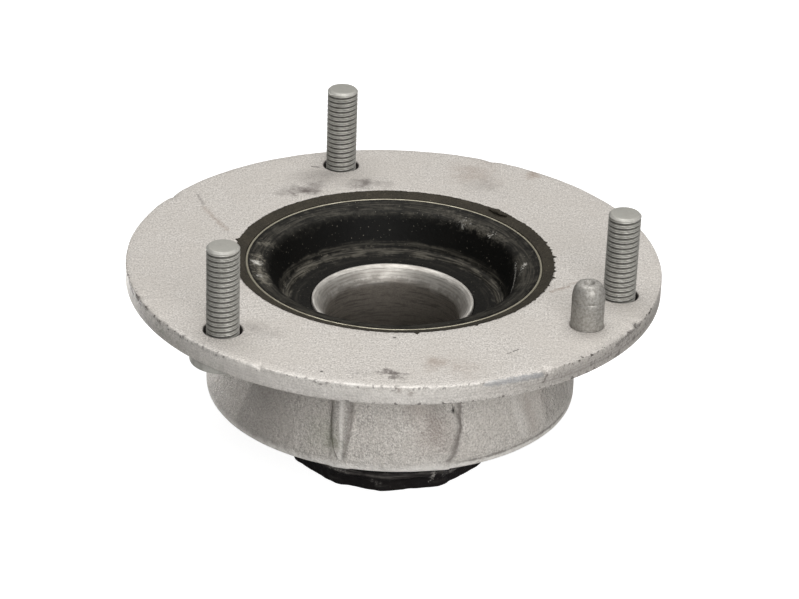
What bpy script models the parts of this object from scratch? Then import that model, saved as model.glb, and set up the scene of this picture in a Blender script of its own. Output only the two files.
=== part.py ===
"""Strut mount: a cast flange and cup on three studs, holding a bearing in bonded rubber.

The flange bolts up under the strut tower. The rod of the strut passes through the bearing,
which sits in a carrier tube that hangs in a ring of rubber inside the cup. The model stands
on the foot of its lower rubber stop, with the origin at the centre of that foot and +Z up.
All values are in metres, and azimuths are in degrees, counter-clockwise seen from above.
"""

import math

import bmesh
import bpy
from mathutils import Matrix, Vector

# Room between two pieces that touch or are bonded on the real mount
CLEARANCE = 0.0003

# Ball bearing
BEARING_BORE_RADIUS = 0.0085
BEARING_RADIUS = 0.0200
BEARING_WIDTH = 0.0120
BALL_COUNT = 8
RACE_FLOOR_WALL = 0.00208
RACE_LAND_SHARE = 0.62
RACE_CHAMFER = 0.0006
CAGE_SIDE_GAP = 0.0009
CAGE_END_GAP = 0.00038
CAGE_RIM = 0.0009
SEAL_THICKNESS = 0.0008
SEAL_INSET = 0.00025
SEAL_RUNNING_GAP = 0.0004

# Carrier tube with its rolled collar, and the ring that keeps the bearing in it
CARRIER_SHOULDER = 0.0030
CARRIER_TUBE_WALL = 0.0020
CARRIER_SEAT_WALL = 0.0023
CARRIER_BORE_LENGTH = 0.0197
CARRIER_STEP_THICKNESS = 0.0020
CARRIER_END_LAND = 0.0012
COLLAR_DEPTH = 0.0115
COLLAR_LIP_OVERHANG = 0.0015
COLLAR_LIP_THICKNESS = 0.0018
COLLAR_MOUTH_DEPTH = 0.0037
COLLAR_MOUTH_FLARE = 0.0023
COLLAR_MOUTH_ROUND = 0.0030
COLLAR_LIP_ROUND = 0.0007
CARRIER_STEP_ROUND = 0.0010
RING_THICKNESS = 0.0015
RING_WIDTH = 0.0022
RING_GROOVE_DEPTH = 0.0010
RING_OPENING_DEG = 22.0
RING_LUG_RADIUS = 0.0019
RING_LUG_HOLE_RADIUS = 0.0009
RING_AZIMUTH = 270.0

# Rubber spring between the carrier and the sleeve
RUBBER_WIDTH = 0.0132
RUBBER_SHOULDER_WIDTH = 0.0046
RUBBER_SHOULDER_DROP = 0.0011
RUBBER_SHOULDER_FILLET = 0.0020
RUBBER_WALL_FOOT_WIDTH = 0.0012
RUBBER_WALL_FOOT_RISE = 0.0022
RUBBER_TROUGH_WIDTH = 0.0064
RUBBER_TROUGH_DROP = 0.0006
RUBBER_TROUGH_FILLET = 0.0012
RUBBER_UNDERCUT_RISE = 0.0074
RUBBER_UNDERCUT_INSET = 0.0048
RUBBER_UNDERCUT_OUTSET = 0.0010
RUBBER_UNDERCUT_FILLET = 0.0030
RUBBER_EDGE_SETBACK = 0.0015
RUBBER_SKIRT_WALL = 0.0023
RUBBER_SKIRT_DRAFT = 0.0012
RUBBER_SKIRT_FILLET = 0.0020

# Sleeve and the rubber seal round its top edge
SLEEVE_WALL = 0.0008
SLEEVE_DEPTH = 0.00084
SEAL_WIDTH = 0.0022
SEAL_HEIGHT = 0.0021
SEAL_SLOPE = 0.0007

# Cast body: flange and ribbed cup
FLANGE_THICKNESS = 0.00484
FLANGE_BORDER = 0.0013
FLANGE_EDGE_ROUND = 0.0005
CUP_DEPTH = 0.0346
CUP_NECK_WALL = 0.0039
CUP_FLARE = 0.0055
CUP_NECK_FILLET = 0.0030
CUP_FOOT_BAND = 0.0026
CUP_FOOT_ROUND = 0.0005
CUP_LEDGE_WIDTH = 0.0030
CUP_LEDGE_THICKNESS = 0.0023
RIBS_PER_GAP = 2
RIB_WIDTH = 0.0054
RIB_FROM_STUD_DEG = 29.8
RIB_PITCH_DEG = 32.4
RIB_CREST_SETBACK = 0.00015
RIB_ROOT_DEPTH = 0.0012

# Studs and locating pin
STUD_AZIMUTHS = {"stud_left": 226.1, "stud_rear": 105.2, "stud_right": 344.1}
STUD_RADIUS = 0.0040
STUD_HEIGHT = 0.0221
STUD_TIP_CHAMFER = 0.0008
STUD_SHOULDER_RADIUS = 0.0045
STUD_SHOULDER_INSET = 0.0015
STUD_HEAD_RADIUS = 0.0080
STUD_HEAD_THICKNESS = 0.0029
STUD_HEAD_ROUND = 0.0006
STUD_HEAD_ROOM = 0.0028
PIN_AZIMUTH = 325.1
PIN_CIRCLE_INSET = 0.0007
PIN_RADIUS = 0.0040
PIN_HEIGHT = 0.0113
PIN_NOSE_LENGTH = 0.0037
PIN_NOSE_ROUND = 0.0060
PIN_TOP_RADIUS = 0.0022
PIN_CENTRE_HOLE_RADIUS = 0.0011
PIN_CENTRE_HOLE_DEPTH = 0.0025
PIN_FOOT_SETBACK = 0.0003

# Lower rubber stop
STOP_WALL = 0.0023
STOP_FLARE = 0.0018
STOP_SLEEVE_LENGTH = 0.0091
STOP_PAD_THICKNESS = 0.0053
STOP_PAD_INNER_LIP = 0.0034
STOP_BEAD_HEIGHT = 0.0040
STOP_BEAD_ROUND = 0.0008
STOP_FOOT_HEIGHT = 0.0031
STOP_FOOT_SETBACK = 0.0006
STOP_EDGE_ROUND = 0.0006
LOBE_COUNT = 11
LOBE_SAMPLES = 4
LOBE_NOTCH_DEPTH = 0.0012
LOBE_NOTCH_SETBACK = 0.0010
LOBE_AZIMUTH = 241.0

# Number of facets round each turned piece
SEGMENTS_BODY = 72
SEGMENTS_RING = 48
SEGMENTS_CARRIER = 36
SEGMENTS_BEARING = 28
SEGMENTS_STUD = 18
SEGMENTS_BALL = 10
SMOOTH_ANGLE_DEG = 35.0
AXIS_MARK_SIZE = 0.01

# Radii that follow from the sizes above, from the bearing outwards
ball_circle_radius = (BEARING_BORE_RADIUS + BEARING_RADIUS) / 2
cage_half_height = BEARING_WIDTH / 2 - SEAL_INSET - SEAL_THICKNESS - CAGE_END_GAP
race_groove_radius = min(BEARING_RADIUS - ball_circle_radius - RACE_FLOOR_WALL, cage_half_height - CAGE_RIM)
ball_radius = race_groove_radius - CLEARANCE
inner_land_radius = ball_circle_radius - ball_radius * RACE_LAND_SHARE
outer_land_radius = ball_circle_radius + ball_radius * RACE_LAND_SHARE
cage_inner_radius = inner_land_radius + CAGE_SIDE_GAP
cage_outer_radius = outer_land_radius - CAGE_SIDE_GAP
carrier_bore_radius = BEARING_RADIUS - CARRIER_SHOULDER
carrier_tube_radius = carrier_bore_radius + CARRIER_TUBE_WALL
carrier_seat_radius = BEARING_RADIUS + CLEARANCE
carrier_outer_radius = carrier_seat_radius + CARRIER_SEAT_WALL
collar_lip_radius = carrier_tube_radius + COLLAR_LIP_OVERHANG
ring_groove_radius = carrier_seat_radius + RING_GROOVE_DEPTH
rubber_inner_radius = carrier_outer_radius + CLEARANCE
rubber_outer_radius = rubber_inner_radius + RUBBER_WIDTH
sleeve_inner_radius = rubber_outer_radius + CLEARANCE
sleeve_outer_radius = sleeve_inner_radius + SLEEVE_WALL
cup_bore_radius = sleeve_outer_radius + CLEARANCE
seal_inner_radius = sleeve_outer_radius + CLEARANCE
seal_outer_radius = seal_inner_radius + SEAL_WIDTH
seal_recess_radius = seal_outer_radius + CLEARANCE
cup_neck_radius = cup_bore_radius + CUP_NECK_WALL
cup_foot_radius = cup_neck_radius + CUP_FLARE
cup_mouth_radius = cup_bore_radius - CUP_LEDGE_WIDTH
stud_circle_radius = cup_foot_radius + STUD_HEAD_ROOM + STUD_HEAD_RADIUS
flange_radius = stud_circle_radius + STUD_HEAD_RADIUS + FLANGE_BORDER
stop_inner_radius = carrier_outer_radius + CLEARANCE
stop_top_radius = stop_inner_radius + STOP_WALL
stop_bead_radius = stop_top_radius + STOP_FLARE
stop_foot_radius = stop_bead_radius - STOP_FOOT_SETBACK
stop_mouth_radius = stop_inner_radius - STOP_PAD_INNER_LIP

# Levels that follow from the sizes above, from the foot upwards
carrier_end_level = STOP_PAD_THICKNESS + CLEARANCE
ring_bottom_level = carrier_end_level + CARRIER_END_LAND + CLEARANCE
ring_top_level = ring_bottom_level + RING_THICKNESS
bearing_bottom_level = ring_top_level + CLEARANCE
bearing_middle_level = bearing_bottom_level + BEARING_WIDTH / 2
bearing_top_level = bearing_bottom_level + BEARING_WIDTH
carrier_step_level = bearing_top_level + CLEARANCE
collar_level = carrier_step_level + CARRIER_BORE_LENGTH
collar_underside_level = collar_level - COLLAR_LIP_THICKNESS
flange_top_level = collar_level + COLLAR_DEPTH
flange_bottom_level = flange_top_level - FLANGE_THICKNESS
cup_foot_level = flange_top_level - CUP_DEPTH
cup_ledge_level = cup_foot_level + CUP_LEDGE_THICKNESS
sleeve_top_level = flange_top_level - SLEEVE_DEPTH
sleeve_bottom_level = cup_ledge_level + CLEARANCE
rubber_top_level = sleeve_top_level - CLEARANCE
stop_top_level = STOP_PAD_THICKNESS + STOP_SLEEVE_LENGTH
rubber_bottom_level = stop_top_level + CLEARANCE
seal_recess_level = flange_top_level - CLEARANCE - SEAL_HEIGHT


def clear_scene():
    """Remove whatever objects the open file holds."""
    for item in list(bpy.data.objects):
        bpy.data.objects.remove(item, do_unlink=True)


def linear(channel):
    """Turn one 8-bit display value into the linear value that a shader takes."""
    share = channel / 255
    return share / 12.92 if share <= 0.04045 else ((share + 0.055) / 1.055) ** 2.4


def finish(name, colour, roughness, metallic):
    """Make the Principled material of one finish from its 8-bit display colour."""
    material = bpy.data.materials.new(name)
    material.use_nodes = True
    shader = material.node_tree.nodes["Principled BSDF"]
    rgba = [linear(channel) for channel in colour] + [1.0]
    shader.inputs["Base Color"].default_value = rgba
    shader.inputs["Roughness"].default_value = roughness
    shader.inputs["Metallic"].default_value = metallic
    material.diffuse_color = rgba
    return material


def rounded(corners, turn_per_step=math.radians(45)):
    """Round the corners of a closed outline; each corner is (radius, level, fillet)."""
    points = [Vector((r, z)) for r, z, _ in corners]
    outline = []
    for index, (_, _, fillet) in enumerate(corners):
        here = points[index]
        to_last = points[index - 1] - here
        to_next = points[(index + 1) % len(points)] - here
        opening = to_last.angle(to_next)
        if fillet <= 0 or opening > math.radians(179):
            outline.append(tuple(here))
            continue
        reach = min(fillet / math.tan(opening / 2), 0.45 * to_last.length, 0.45 * to_next.length)
        radius = reach * math.tan(opening / 2)
        bisector = (to_last.normalized() + to_next.normalized()).normalized()
        centre = here + bisector * (radius / math.sin(opening / 2))
        start = here + to_last.normalized() * reach - centre
        turn = start.angle_signed(here + to_next.normalized() * reach - centre)
        steps = max(1, round(abs(turn) / turn_per_step))
        for step in range(steps + 1):
            spoke = start.copy()
            spoke.rotate(Matrix.Rotation(-turn * step / steps, 2))
            outline.append(tuple(centre + spoke))
    return outline


def arc(centre, radius, start_deg, end_deg, steps):
    """List points along an arc in a (radius, level) section."""
    points = []
    for step in range(steps + 1):
        angle = math.radians(start_deg + (end_deg - start_deg) * step / steps)
        points.append((centre[0] + radius * math.cos(angle), centre[1] + radius * math.sin(angle)))
    return points


def add_object(name, builder, material, location=(0, 0, 0), parent=None):
    """Turn a finished bmesh into a smooth-shaded object of the mount."""
    bmesh.ops.recalc_face_normals(builder, faces=builder.faces)
    mesh = bpy.data.meshes.new(name)
    builder.to_mesh(mesh)
    builder.free()
    if material:
        mesh.materials.append(material)
    piece = bpy.data.objects.new(name, mesh)
    bpy.context.scene.collection.objects.link(piece)
    piece.location = location
    piece.parent = parent
    shade(piece)
    return piece


def shade(piece):
    """Shade a piece smooth between its sharp edges."""
    piece.data.shade_smooth()
    piece.data.set_sharp_from_angle(angle=math.radians(SMOOTH_ANGLE_DEG))


def turned(outline, segments):
    """Spin a closed (radius, level) outline once round the Z axis."""
    builder = bmesh.new()
    verts = [builder.verts.new((r, 0, z)) for r, z in outline]
    sides = [pair for pair in zip(verts, verts[1:] + verts[:1]) if max(pair[0].co.x, pair[1].co.x) > 0]
    edges = [builder.edges.new(pair) for pair in sides]
    bmesh.ops.spin(
        builder,
        geom=verts + edges,
        cent=(0, 0, 0),
        axis=(0, 0, 1),
        angle=math.tau,
        steps=segments,
        use_merge=True,
    )
    bmesh.ops.remove_doubles(builder, verts=builder.verts, dist=1e-7)
    return builder


def extruded(outline, bottom, top):
    """Extrude a closed (x, y) outline between two levels."""
    builder = bmesh.new()
    face = builder.faces.new([builder.verts.new((x, y, bottom)) for x, y in outline])
    grown = bmesh.ops.extrude_face_region(builder, geom=[face])
    lifted = [item for item in grown["geom"] if isinstance(item, bmesh.types.BMVert)]
    bmesh.ops.translate(builder, verts=lifted, vec=(0, 0, top - bottom))
    return builder


def turn_about_axis(builder, angle_deg):
    """Turn a bmesh about the mount's axis."""
    turn = Matrix.Rotation(math.radians(angle_deg), 3, "Z")
    bmesh.ops.rotate(builder, verts=builder.verts, cent=(0, 0, 0), matrix=turn)


def polar(radius, azimuth_deg, level=0.0):
    """Give the place at a radius and azimuth round the mount's axis."""
    angle = math.radians(azimuth_deg)
    return Vector((radius * math.cos(angle), radius * math.sin(angle), level))


def merged(builders):
    """Gather several bmeshes that do not touch into one."""
    whole = bmesh.new()
    for builder in builders:
        mesh = bpy.data.meshes.new("part_of_tool")
        builder.to_mesh(mesh)
        builder.free()
        whole.from_mesh(mesh)
        bpy.data.meshes.remove(mesh)
    return whole


def combine(piece, builder, operation):
    """Apply one Boolean with a temporary tool body, then shade the result again."""
    tool = add_object(piece.name + "_tool", builder, None, piece.location, piece.parent)
    tool.hide_render = True
    tool.display_type = "WIRE"
    modifier = piece.modifiers.new(operation.lower(), "BOOLEAN")
    modifier.operation = operation
    modifier.solver = "EXACT"
    modifier.object = tool
    evaluated = piece.evaluated_get(bpy.context.evaluated_depsgraph_get())
    result = bpy.data.meshes.new_from_object(evaluated)
    piece.modifiers.clear()
    piece.data = result
    bpy.data.objects.remove(tool, do_unlink=True)
    shade(piece)


def round_tool(radius, bottom, top, centre=(0, 0), segments=24):
    """Make a plain cylinder for drilling."""
    builder = bmesh.new()
    middle = Matrix.Translation((centre[0], centre[1], (bottom + top) / 2))
    bmesh.ops.create_cone(
        builder,
        cap_ends=True,
        segments=segments,
        radius1=radius,
        radius2=radius,
        depth=top - bottom,
        matrix=middle,
    )
    return builder


def body_outline():
    """Section of the flange and cup, from the seal recess round the outside and back."""
    return rounded([
        (seal_recess_radius, flange_top_level, 0.0),
        (flange_radius, flange_top_level, FLANGE_EDGE_ROUND),
        (flange_radius, flange_bottom_level, FLANGE_EDGE_ROUND),
        (cup_neck_radius, flange_bottom_level, CUP_NECK_FILLET),
        (cup_foot_radius, cup_foot_level + CUP_FOOT_BAND, CUP_FOOT_ROUND),
        (cup_foot_radius, cup_foot_level, CUP_FOOT_ROUND),
        (cup_mouth_radius, cup_foot_level, 0.0),
        (cup_mouth_radius, cup_ledge_level, 0.0),
        (cup_bore_radius, cup_ledge_level, 0.0),
        (cup_bore_radius, seal_recess_level, 0.0),
        (seal_recess_radius, seal_recess_level, 0.0),
    ])


def rib_tool(azimuth_deg):
    """One half-round rib, which the flaring cup wall swallows just above the foot band."""
    half_width = RIB_WIDTH / 2
    centre = cup_foot_radius - RIB_CREST_SETBACK - half_width
    root = cup_bore_radius + RIB_ROOT_DEPTH
    outline = [(root, -half_width)]
    outline += arc((centre, 0.0), half_width, -90, 90, 6)
    outline.append((root, half_width))
    rib = extruded(outline, cup_foot_level + CUP_FOOT_BAND / 2, flange_top_level - FLANGE_THICKNESS / 2)
    turn_about_axis(rib, azimuth_deg)
    return rib


def flange_holes():
    """Clearance holes of the studs and the hole of the locating pin."""
    bottom = flange_bottom_level - FLANGE_THICKNESS
    top = flange_top_level + FLANGE_THICKNESS
    holes = []
    for azimuth in STUD_AZIMUTHS.values():
        place = polar(stud_circle_radius, azimuth)
        holes.append(round_tool(STUD_SHOULDER_RADIUS + CLEARANCE, bottom, top, place.xy))
    place = polar(stud_circle_radius - PIN_CIRCLE_INSET, PIN_AZIMUTH)
    holes.append(round_tool(PIN_RADIUS + CLEARANCE, bottom, top, place.xy))
    return holes


def rib_azimuths():
    """Azimuths of the ribs, which stand in each gap between two studs, clear of the stud heads."""
    steps = [RIB_FROM_STUD_DEG + RIB_PITCH_DEG * step for step in range(RIBS_PER_GAP)]
    return [stud + step for stud in STUD_AZIMUTHS.values() for step in steps]


def make_body(material, parent):
    """Cast body: a turned flange and flaring cup, with ribs between the studs and four drilled holes."""
    body = add_object("mount_body", turned(body_outline(), SEGMENTS_BODY), material, parent=parent)
    combine(body, merged([rib_tool(azimuth) for azimuth in rib_azimuths()]), "UNION")
    combine(body, merged(flange_holes()), "DIFFERENCE")
    return body


def make_stud(name, azimuth_deg, material, parent):
    """Headed stud, pressed up through the flange from below."""
    head_top = -FLANGE_THICKNESS - CLEARANCE
    head_bottom = head_top - STUD_HEAD_THICKNESS
    outline = rounded([
        (0.0, STUD_HEIGHT, 0.0),
        (STUD_RADIUS, STUD_HEIGHT, STUD_TIP_CHAMFER),
        (STUD_RADIUS, -STUD_SHOULDER_INSET, 0.0),
        (STUD_SHOULDER_RADIUS, -STUD_SHOULDER_INSET, 0.0),
        (STUD_SHOULDER_RADIUS, head_top, 0.0),
        (STUD_HEAD_RADIUS, head_top, STUD_HEAD_ROUND),
        (STUD_HEAD_RADIUS, head_bottom, STUD_HEAD_ROUND),
        (0.0, head_bottom, 0.0),
    ])
    place = polar(stud_circle_radius, azimuth_deg, flange_top_level)
    return add_object(name, turned(outline, SEGMENTS_STUD), material, place, parent)


def make_pin(material, parent):
    """Locating pin with an ogive nose and a centre hole in its flat top."""
    outline = rounded([
        (0.0, PIN_HEIGHT - PIN_CENTRE_HOLE_DEPTH, 0.0),
        (PIN_CENTRE_HOLE_RADIUS, PIN_HEIGHT - PIN_CENTRE_HOLE_DEPTH, 0.0),
        (PIN_CENTRE_HOLE_RADIUS, PIN_HEIGHT, 0.0),
        (PIN_TOP_RADIUS, PIN_HEIGHT, 0.0),
        (PIN_RADIUS, PIN_HEIGHT - PIN_NOSE_LENGTH, PIN_NOSE_ROUND),
        (PIN_RADIUS, PIN_FOOT_SETBACK - FLANGE_THICKNESS, FLANGE_EDGE_ROUND),
        (0.0, PIN_FOOT_SETBACK - FLANGE_THICKNESS, 0.0),
    ], math.radians(15))
    place = polar(stud_circle_radius - PIN_CIRCLE_INSET, PIN_AZIMUTH, flange_top_level)
    return add_object("locating_pin", turned(outline, SEGMENTS_STUD), material, place, parent)


def make_edge_seal(material, parent):
    """Rubber ring in the recess between the flange and the sleeve's top edge."""
    top = flange_top_level
    bottom = seal_recess_level + CLEARANCE
    outline = [
        (seal_inner_radius, top - SEAL_SLOPE),
        (seal_outer_radius, top),
        (seal_outer_radius, bottom),
        (seal_inner_radius, bottom),
    ]
    return add_object("edge_seal", turned(outline, SEGMENTS_RING), material, parent=parent)


def make_sleeve(material, parent):
    """Thin steel sleeve that the rubber is bonded into."""
    outline = [
        (sleeve_inner_radius, sleeve_top_level),
        (sleeve_outer_radius, sleeve_top_level),
        (sleeve_outer_radius, sleeve_bottom_level),
        (sleeve_inner_radius, sleeve_bottom_level),
    ]
    return add_object("outer_sleeve", turned(outline, SEGMENTS_RING), material, parent=parent)


def make_rubber_spring(material, parent):
    """Rubber ring: a bowl above, a trough round the collar, an undercut and a skirt below."""
    floor = collar_level - RUBBER_TROUGH_DROP
    lip_seat = collar_lip_radius + CLEARANCE
    tube_seat = carrier_tube_radius + CLEARANCE
    under_lip = collar_underside_level - CLEARANCE
    over_step = carrier_step_level + CARRIER_STEP_THICKNESS + CLEARANCE
    shoulder = rubber_outer_radius - RUBBER_SHOULDER_WIDTH
    trough = lip_seat + RUBBER_TROUGH_WIDTH
    skirt = rubber_inner_radius + RUBBER_SKIRT_WALL
    undercut = cup_foot_level + RUBBER_UNDERCUT_RISE
    edge_bottom = sleeve_bottom_level + RUBBER_EDGE_SETBACK
    outline = rounded([
        (rubber_outer_radius, rubber_top_level, 0.0),
        (shoulder, rubber_top_level - RUBBER_SHOULDER_DROP, RUBBER_SHOULDER_FILLET),
        (trough + RUBBER_WALL_FOOT_WIDTH, floor + RUBBER_WALL_FOOT_RISE, RUBBER_TROUGH_FILLET),
        (trough, floor, RUBBER_TROUGH_FILLET),
        (lip_seat, floor, 0.0),
        (lip_seat, under_lip, 0.0),
        (tube_seat, under_lip, 0.0),
        (tube_seat, over_step, 0.0),
        (rubber_inner_radius, over_step, 0.0),
        (rubber_inner_radius, rubber_bottom_level, 0.0),
        (skirt, rubber_bottom_level, 0.0),
        (skirt + RUBBER_SKIRT_DRAFT, cup_foot_level + CUP_FOOT_BAND, RUBBER_SKIRT_FILLET),
        (skirt + RUBBER_UNDERCUT_INSET, undercut, RUBBER_UNDERCUT_FILLET),
        (shoulder + RUBBER_UNDERCUT_OUTSET, undercut, RUBBER_UNDERCUT_FILLET),
        (rubber_outer_radius, edge_bottom, 0.0),
    ])
    return add_object("rubber_spring", turned(outline, SEGMENTS_RING), material, parent=parent)


def make_carrier(material, parent):
    """Bearing carrier: a tube with a rolled collar above and the bearing seat below."""
    mouth = carrier_bore_radius + COLLAR_MOUTH_FLARE
    groove_top = ring_top_level + CLEARANCE
    groove_bottom = ring_bottom_level - CLEARANCE
    step_top = carrier_step_level + CARRIER_STEP_THICKNESS
    outline = rounded([
        (carrier_bore_radius, collar_level - COLLAR_MOUTH_DEPTH, COLLAR_MOUTH_ROUND),
        (mouth, collar_level, COLLAR_LIP_ROUND),
        (collar_lip_radius, collar_level, COLLAR_LIP_ROUND),
        (collar_lip_radius, collar_underside_level, COLLAR_LIP_ROUND),
        (carrier_tube_radius, collar_underside_level, 0.0),
        (carrier_tube_radius, step_top, 0.0),
        (carrier_outer_radius, step_top, CARRIER_STEP_ROUND),
        (carrier_outer_radius, carrier_end_level, 0.0),
        (carrier_seat_radius, carrier_end_level, 0.0),
        (carrier_seat_radius, groove_bottom, 0.0),
        (ring_groove_radius, groove_bottom, 0.0),
        (ring_groove_radius, groove_top, 0.0),
        (carrier_seat_radius, groove_top, 0.0),
        (carrier_seat_radius, carrier_step_level, 0.0),
        (carrier_bore_radius, carrier_step_level, 0.0),
    ])
    return add_object("bearing_carrier", turned(outline, SEGMENTS_CARRIER), material, parent=parent)


def race_outline(bore, land, groove_arc):
    """Section of one race about the bearing's middle, with its ball groove."""
    half = BEARING_WIDTH / 2
    outline = rounded([
        (land, -half, 0.0),
        (bore, -half, RACE_CHAMFER),
        (bore, half, RACE_CHAMFER),
        (land, half, 0.0),
    ], math.radians(90))
    return outline + groove_arc


def groove_points(land, side):
    """Points of the ball groove that opens through a race's land, from top to bottom."""
    half_angle = math.degrees(math.acos(abs(land - ball_circle_radius) / race_groove_radius))
    if side == "inner":
        return arc((ball_circle_radius, 0.0), race_groove_radius, 180 - half_angle, 180 + half_angle, 5)
    return arc((ball_circle_radius, 0.0), race_groove_radius, half_angle, -half_angle, 5)


def make_bearing(steel, pressed, rubber, fixed, turning, orbiting):
    """Deep-groove bearing: two races, a caged set of balls and a seal on each side."""
    middle = (0, 0, bearing_middle_level)
    inner = race_outline(BEARING_BORE_RADIUS, inner_land_radius, groove_points(inner_land_radius, "inner"))
    outer = race_outline(BEARING_RADIUS, outer_land_radius, groove_points(outer_land_radius, "outer"))
    add_object("bearing_inner_race", turned(inner, SEGMENTS_BEARING), steel, parent=turning)
    add_object("bearing_outer_race", turned(outer, SEGMENTS_BEARING), steel, middle, fixed)
    make_cage(pressed, orbiting)
    make_balls(steel, orbiting)
    seal_centre = BEARING_WIDTH / 2 - SEAL_INSET - SEAL_THICKNESS / 2
    for name, offset in (("upper_seal", seal_centre), ("lower_seal", -seal_centre)):
        make_bearing_seal(name, bearing_middle_level + offset, rubber, fixed)


def make_bearing_seal(name, level, material, parent):
    """Flat ring that closes the gap between the races."""
    half = SEAL_THICKNESS / 2
    inner = inner_land_radius + SEAL_RUNNING_GAP
    outer = outer_land_radius - CLEARANCE
    outline = [(inner, -half), (inner, half), (outer, half), (outer, -half)]
    return add_object(name, turned(outline, SEGMENTS_BEARING), material, (0, 0, level), parent)


def make_cage(material, parent):
    """Cage ring with one round pocket for each ball."""
    outline = [
        (cage_inner_radius, -cage_half_height),
        (cage_inner_radius, cage_half_height),
        (cage_outer_radius, cage_half_height),
        (cage_outer_radius, -cage_half_height),
    ]
    cage = add_object("bearing_cage", turned(outline, SEGMENTS_BEARING), material, parent=parent)
    pockets = []
    for step in range(BALL_COUNT):
        pocket = ball_form(race_groove_radius)
        place = polar(ball_circle_radius, 360 / BALL_COUNT * step)
        bmesh.ops.translate(pocket, verts=pocket.verts, vec=place)
        pockets.append(pocket)
    combine(cage, merged(pockets), "DIFFERENCE")
    return cage


def ball_form(radius):
    """Make a ball as a bmesh."""
    ball = bmesh.new()
    bmesh.ops.create_uvsphere(ball, u_segments=SEGMENTS_BALL, v_segments=SEGMENTS_BALL - 4, radius=radius)
    return ball


def make_balls(material, parent):
    """Ring of balls that share one mesh."""
    first = add_object("ball_1", ball_form(ball_radius), material, polar(ball_circle_radius, 0), parent)
    for step in range(1, BALL_COUNT):
        ball = bpy.data.objects.new(f"ball_{step + 1}", first.data)
        bpy.context.scene.collection.objects.link(ball)
        ball.location = polar(ball_circle_radius, 360 / BALL_COUNT * step)
        ball.parent = parent


def make_retaining_ring(material, parent):
    """Open snap ring with a drilled lug at each end."""
    outer = ring_groove_radius - CLEARANCE
    inner = outer - RING_WIDTH
    half_opening = RING_OPENING_DEG / 2
    outline = arc((0, 0), outer, half_opening, 360 - half_opening, SEGMENTS_BEARING)
    outline += arc((0, 0), inner, 360 - half_opening, half_opening, SEGMENTS_BEARING)
    ring = add_object("retaining_ring", extruded(outline, 0.0, RING_THICKNESS), material)
    lug_circle = inner - RING_LUG_RADIUS / 2
    lug_azimuth = half_opening + math.degrees(RING_LUG_RADIUS / lug_circle)
    lugs = [polar(lug_circle, azimuth) for azimuth in (lug_azimuth, -lug_azimuth)]
    skin = CLEARANCE / 10
    lug_tools = [round_tool(RING_LUG_RADIUS, skin, RING_THICKNESS - skin, lug.xy, 16) for lug in lugs]
    combine(ring, merged(lug_tools), "UNION")
    through = (-RING_THICKNESS, 2 * RING_THICKNESS)
    drills = [round_tool(RING_LUG_HOLE_RADIUS, *through, lug.xy, 12) for lug in lugs]
    combine(ring, merged(drills), "DIFFERENCE")
    ring.location = (0, 0, ring_bottom_level)
    ring.rotation_euler = (0, 0, math.radians(RING_AZIMUTH))
    ring.parent = parent
    return ring


def make_lower_stop(material, parent):
    """Rubber stop pushed over the carrier's end, with a lobed foot."""
    outline = rounded([
        (stop_inner_radius, stop_top_level, 0.0),
        (stop_top_radius, stop_top_level, STOP_EDGE_ROUND),
        (stop_bead_radius, STOP_BEAD_HEIGHT, STOP_BEAD_ROUND),
        (stop_foot_radius, STOP_FOOT_HEIGHT, STOP_EDGE_ROUND),
        (stop_foot_radius, 0.0, STOP_BEAD_ROUND),
        (stop_mouth_radius, 0.0, STOP_EDGE_ROUND),
        (stop_mouth_radius, STOP_PAD_THICKNESS, 0.0),
        (stop_inner_radius, STOP_PAD_THICKNESS, 0.0),
    ])
    segments = LOBE_COUNT * LOBE_SAMPLES
    stop = turned(outline, segments)
    cut_lobes(stop, segments)
    return add_object("lower_stop", stop, material, parent=parent)


def cut_lobes(stop, segments):
    """Draw the facet line between each two lobes of the foot inwards and upwards."""
    for vert in stop.verts:
        step = round(math.atan2(vert.co.y, vert.co.x) / math.tau * segments)
        radius = vert.co.xy.length
        in_mouth = radius < stop_mouth_radius + STOP_EDGE_ROUND / 2
        if step % LOBE_SAMPLES or vert.co.z > STOP_FOOT_HEIGHT + CLEARANCE or in_mouth:
            continue
        vert.co.xy *= (radius - LOBE_NOTCH_SETBACK) / radius
        vert.co.z += LOBE_NOTCH_DEPTH * (1 - vert.co.z / STOP_BEAD_HEIGHT)
    turn_about_axis(stop, LOBE_AZIMUTH + 180 / LOBE_COUNT)


def axis_empty(name, level, parent):
    """Empty on the mount's axis that a group of pieces turns about."""
    empty = bpy.data.objects.new(name, None)
    empty.empty_display_size = AXIS_MARK_SIZE
    bpy.context.scene.collection.objects.link(empty)
    empty.location = (0, 0, level)
    empty.parent = parent
    return empty


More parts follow.
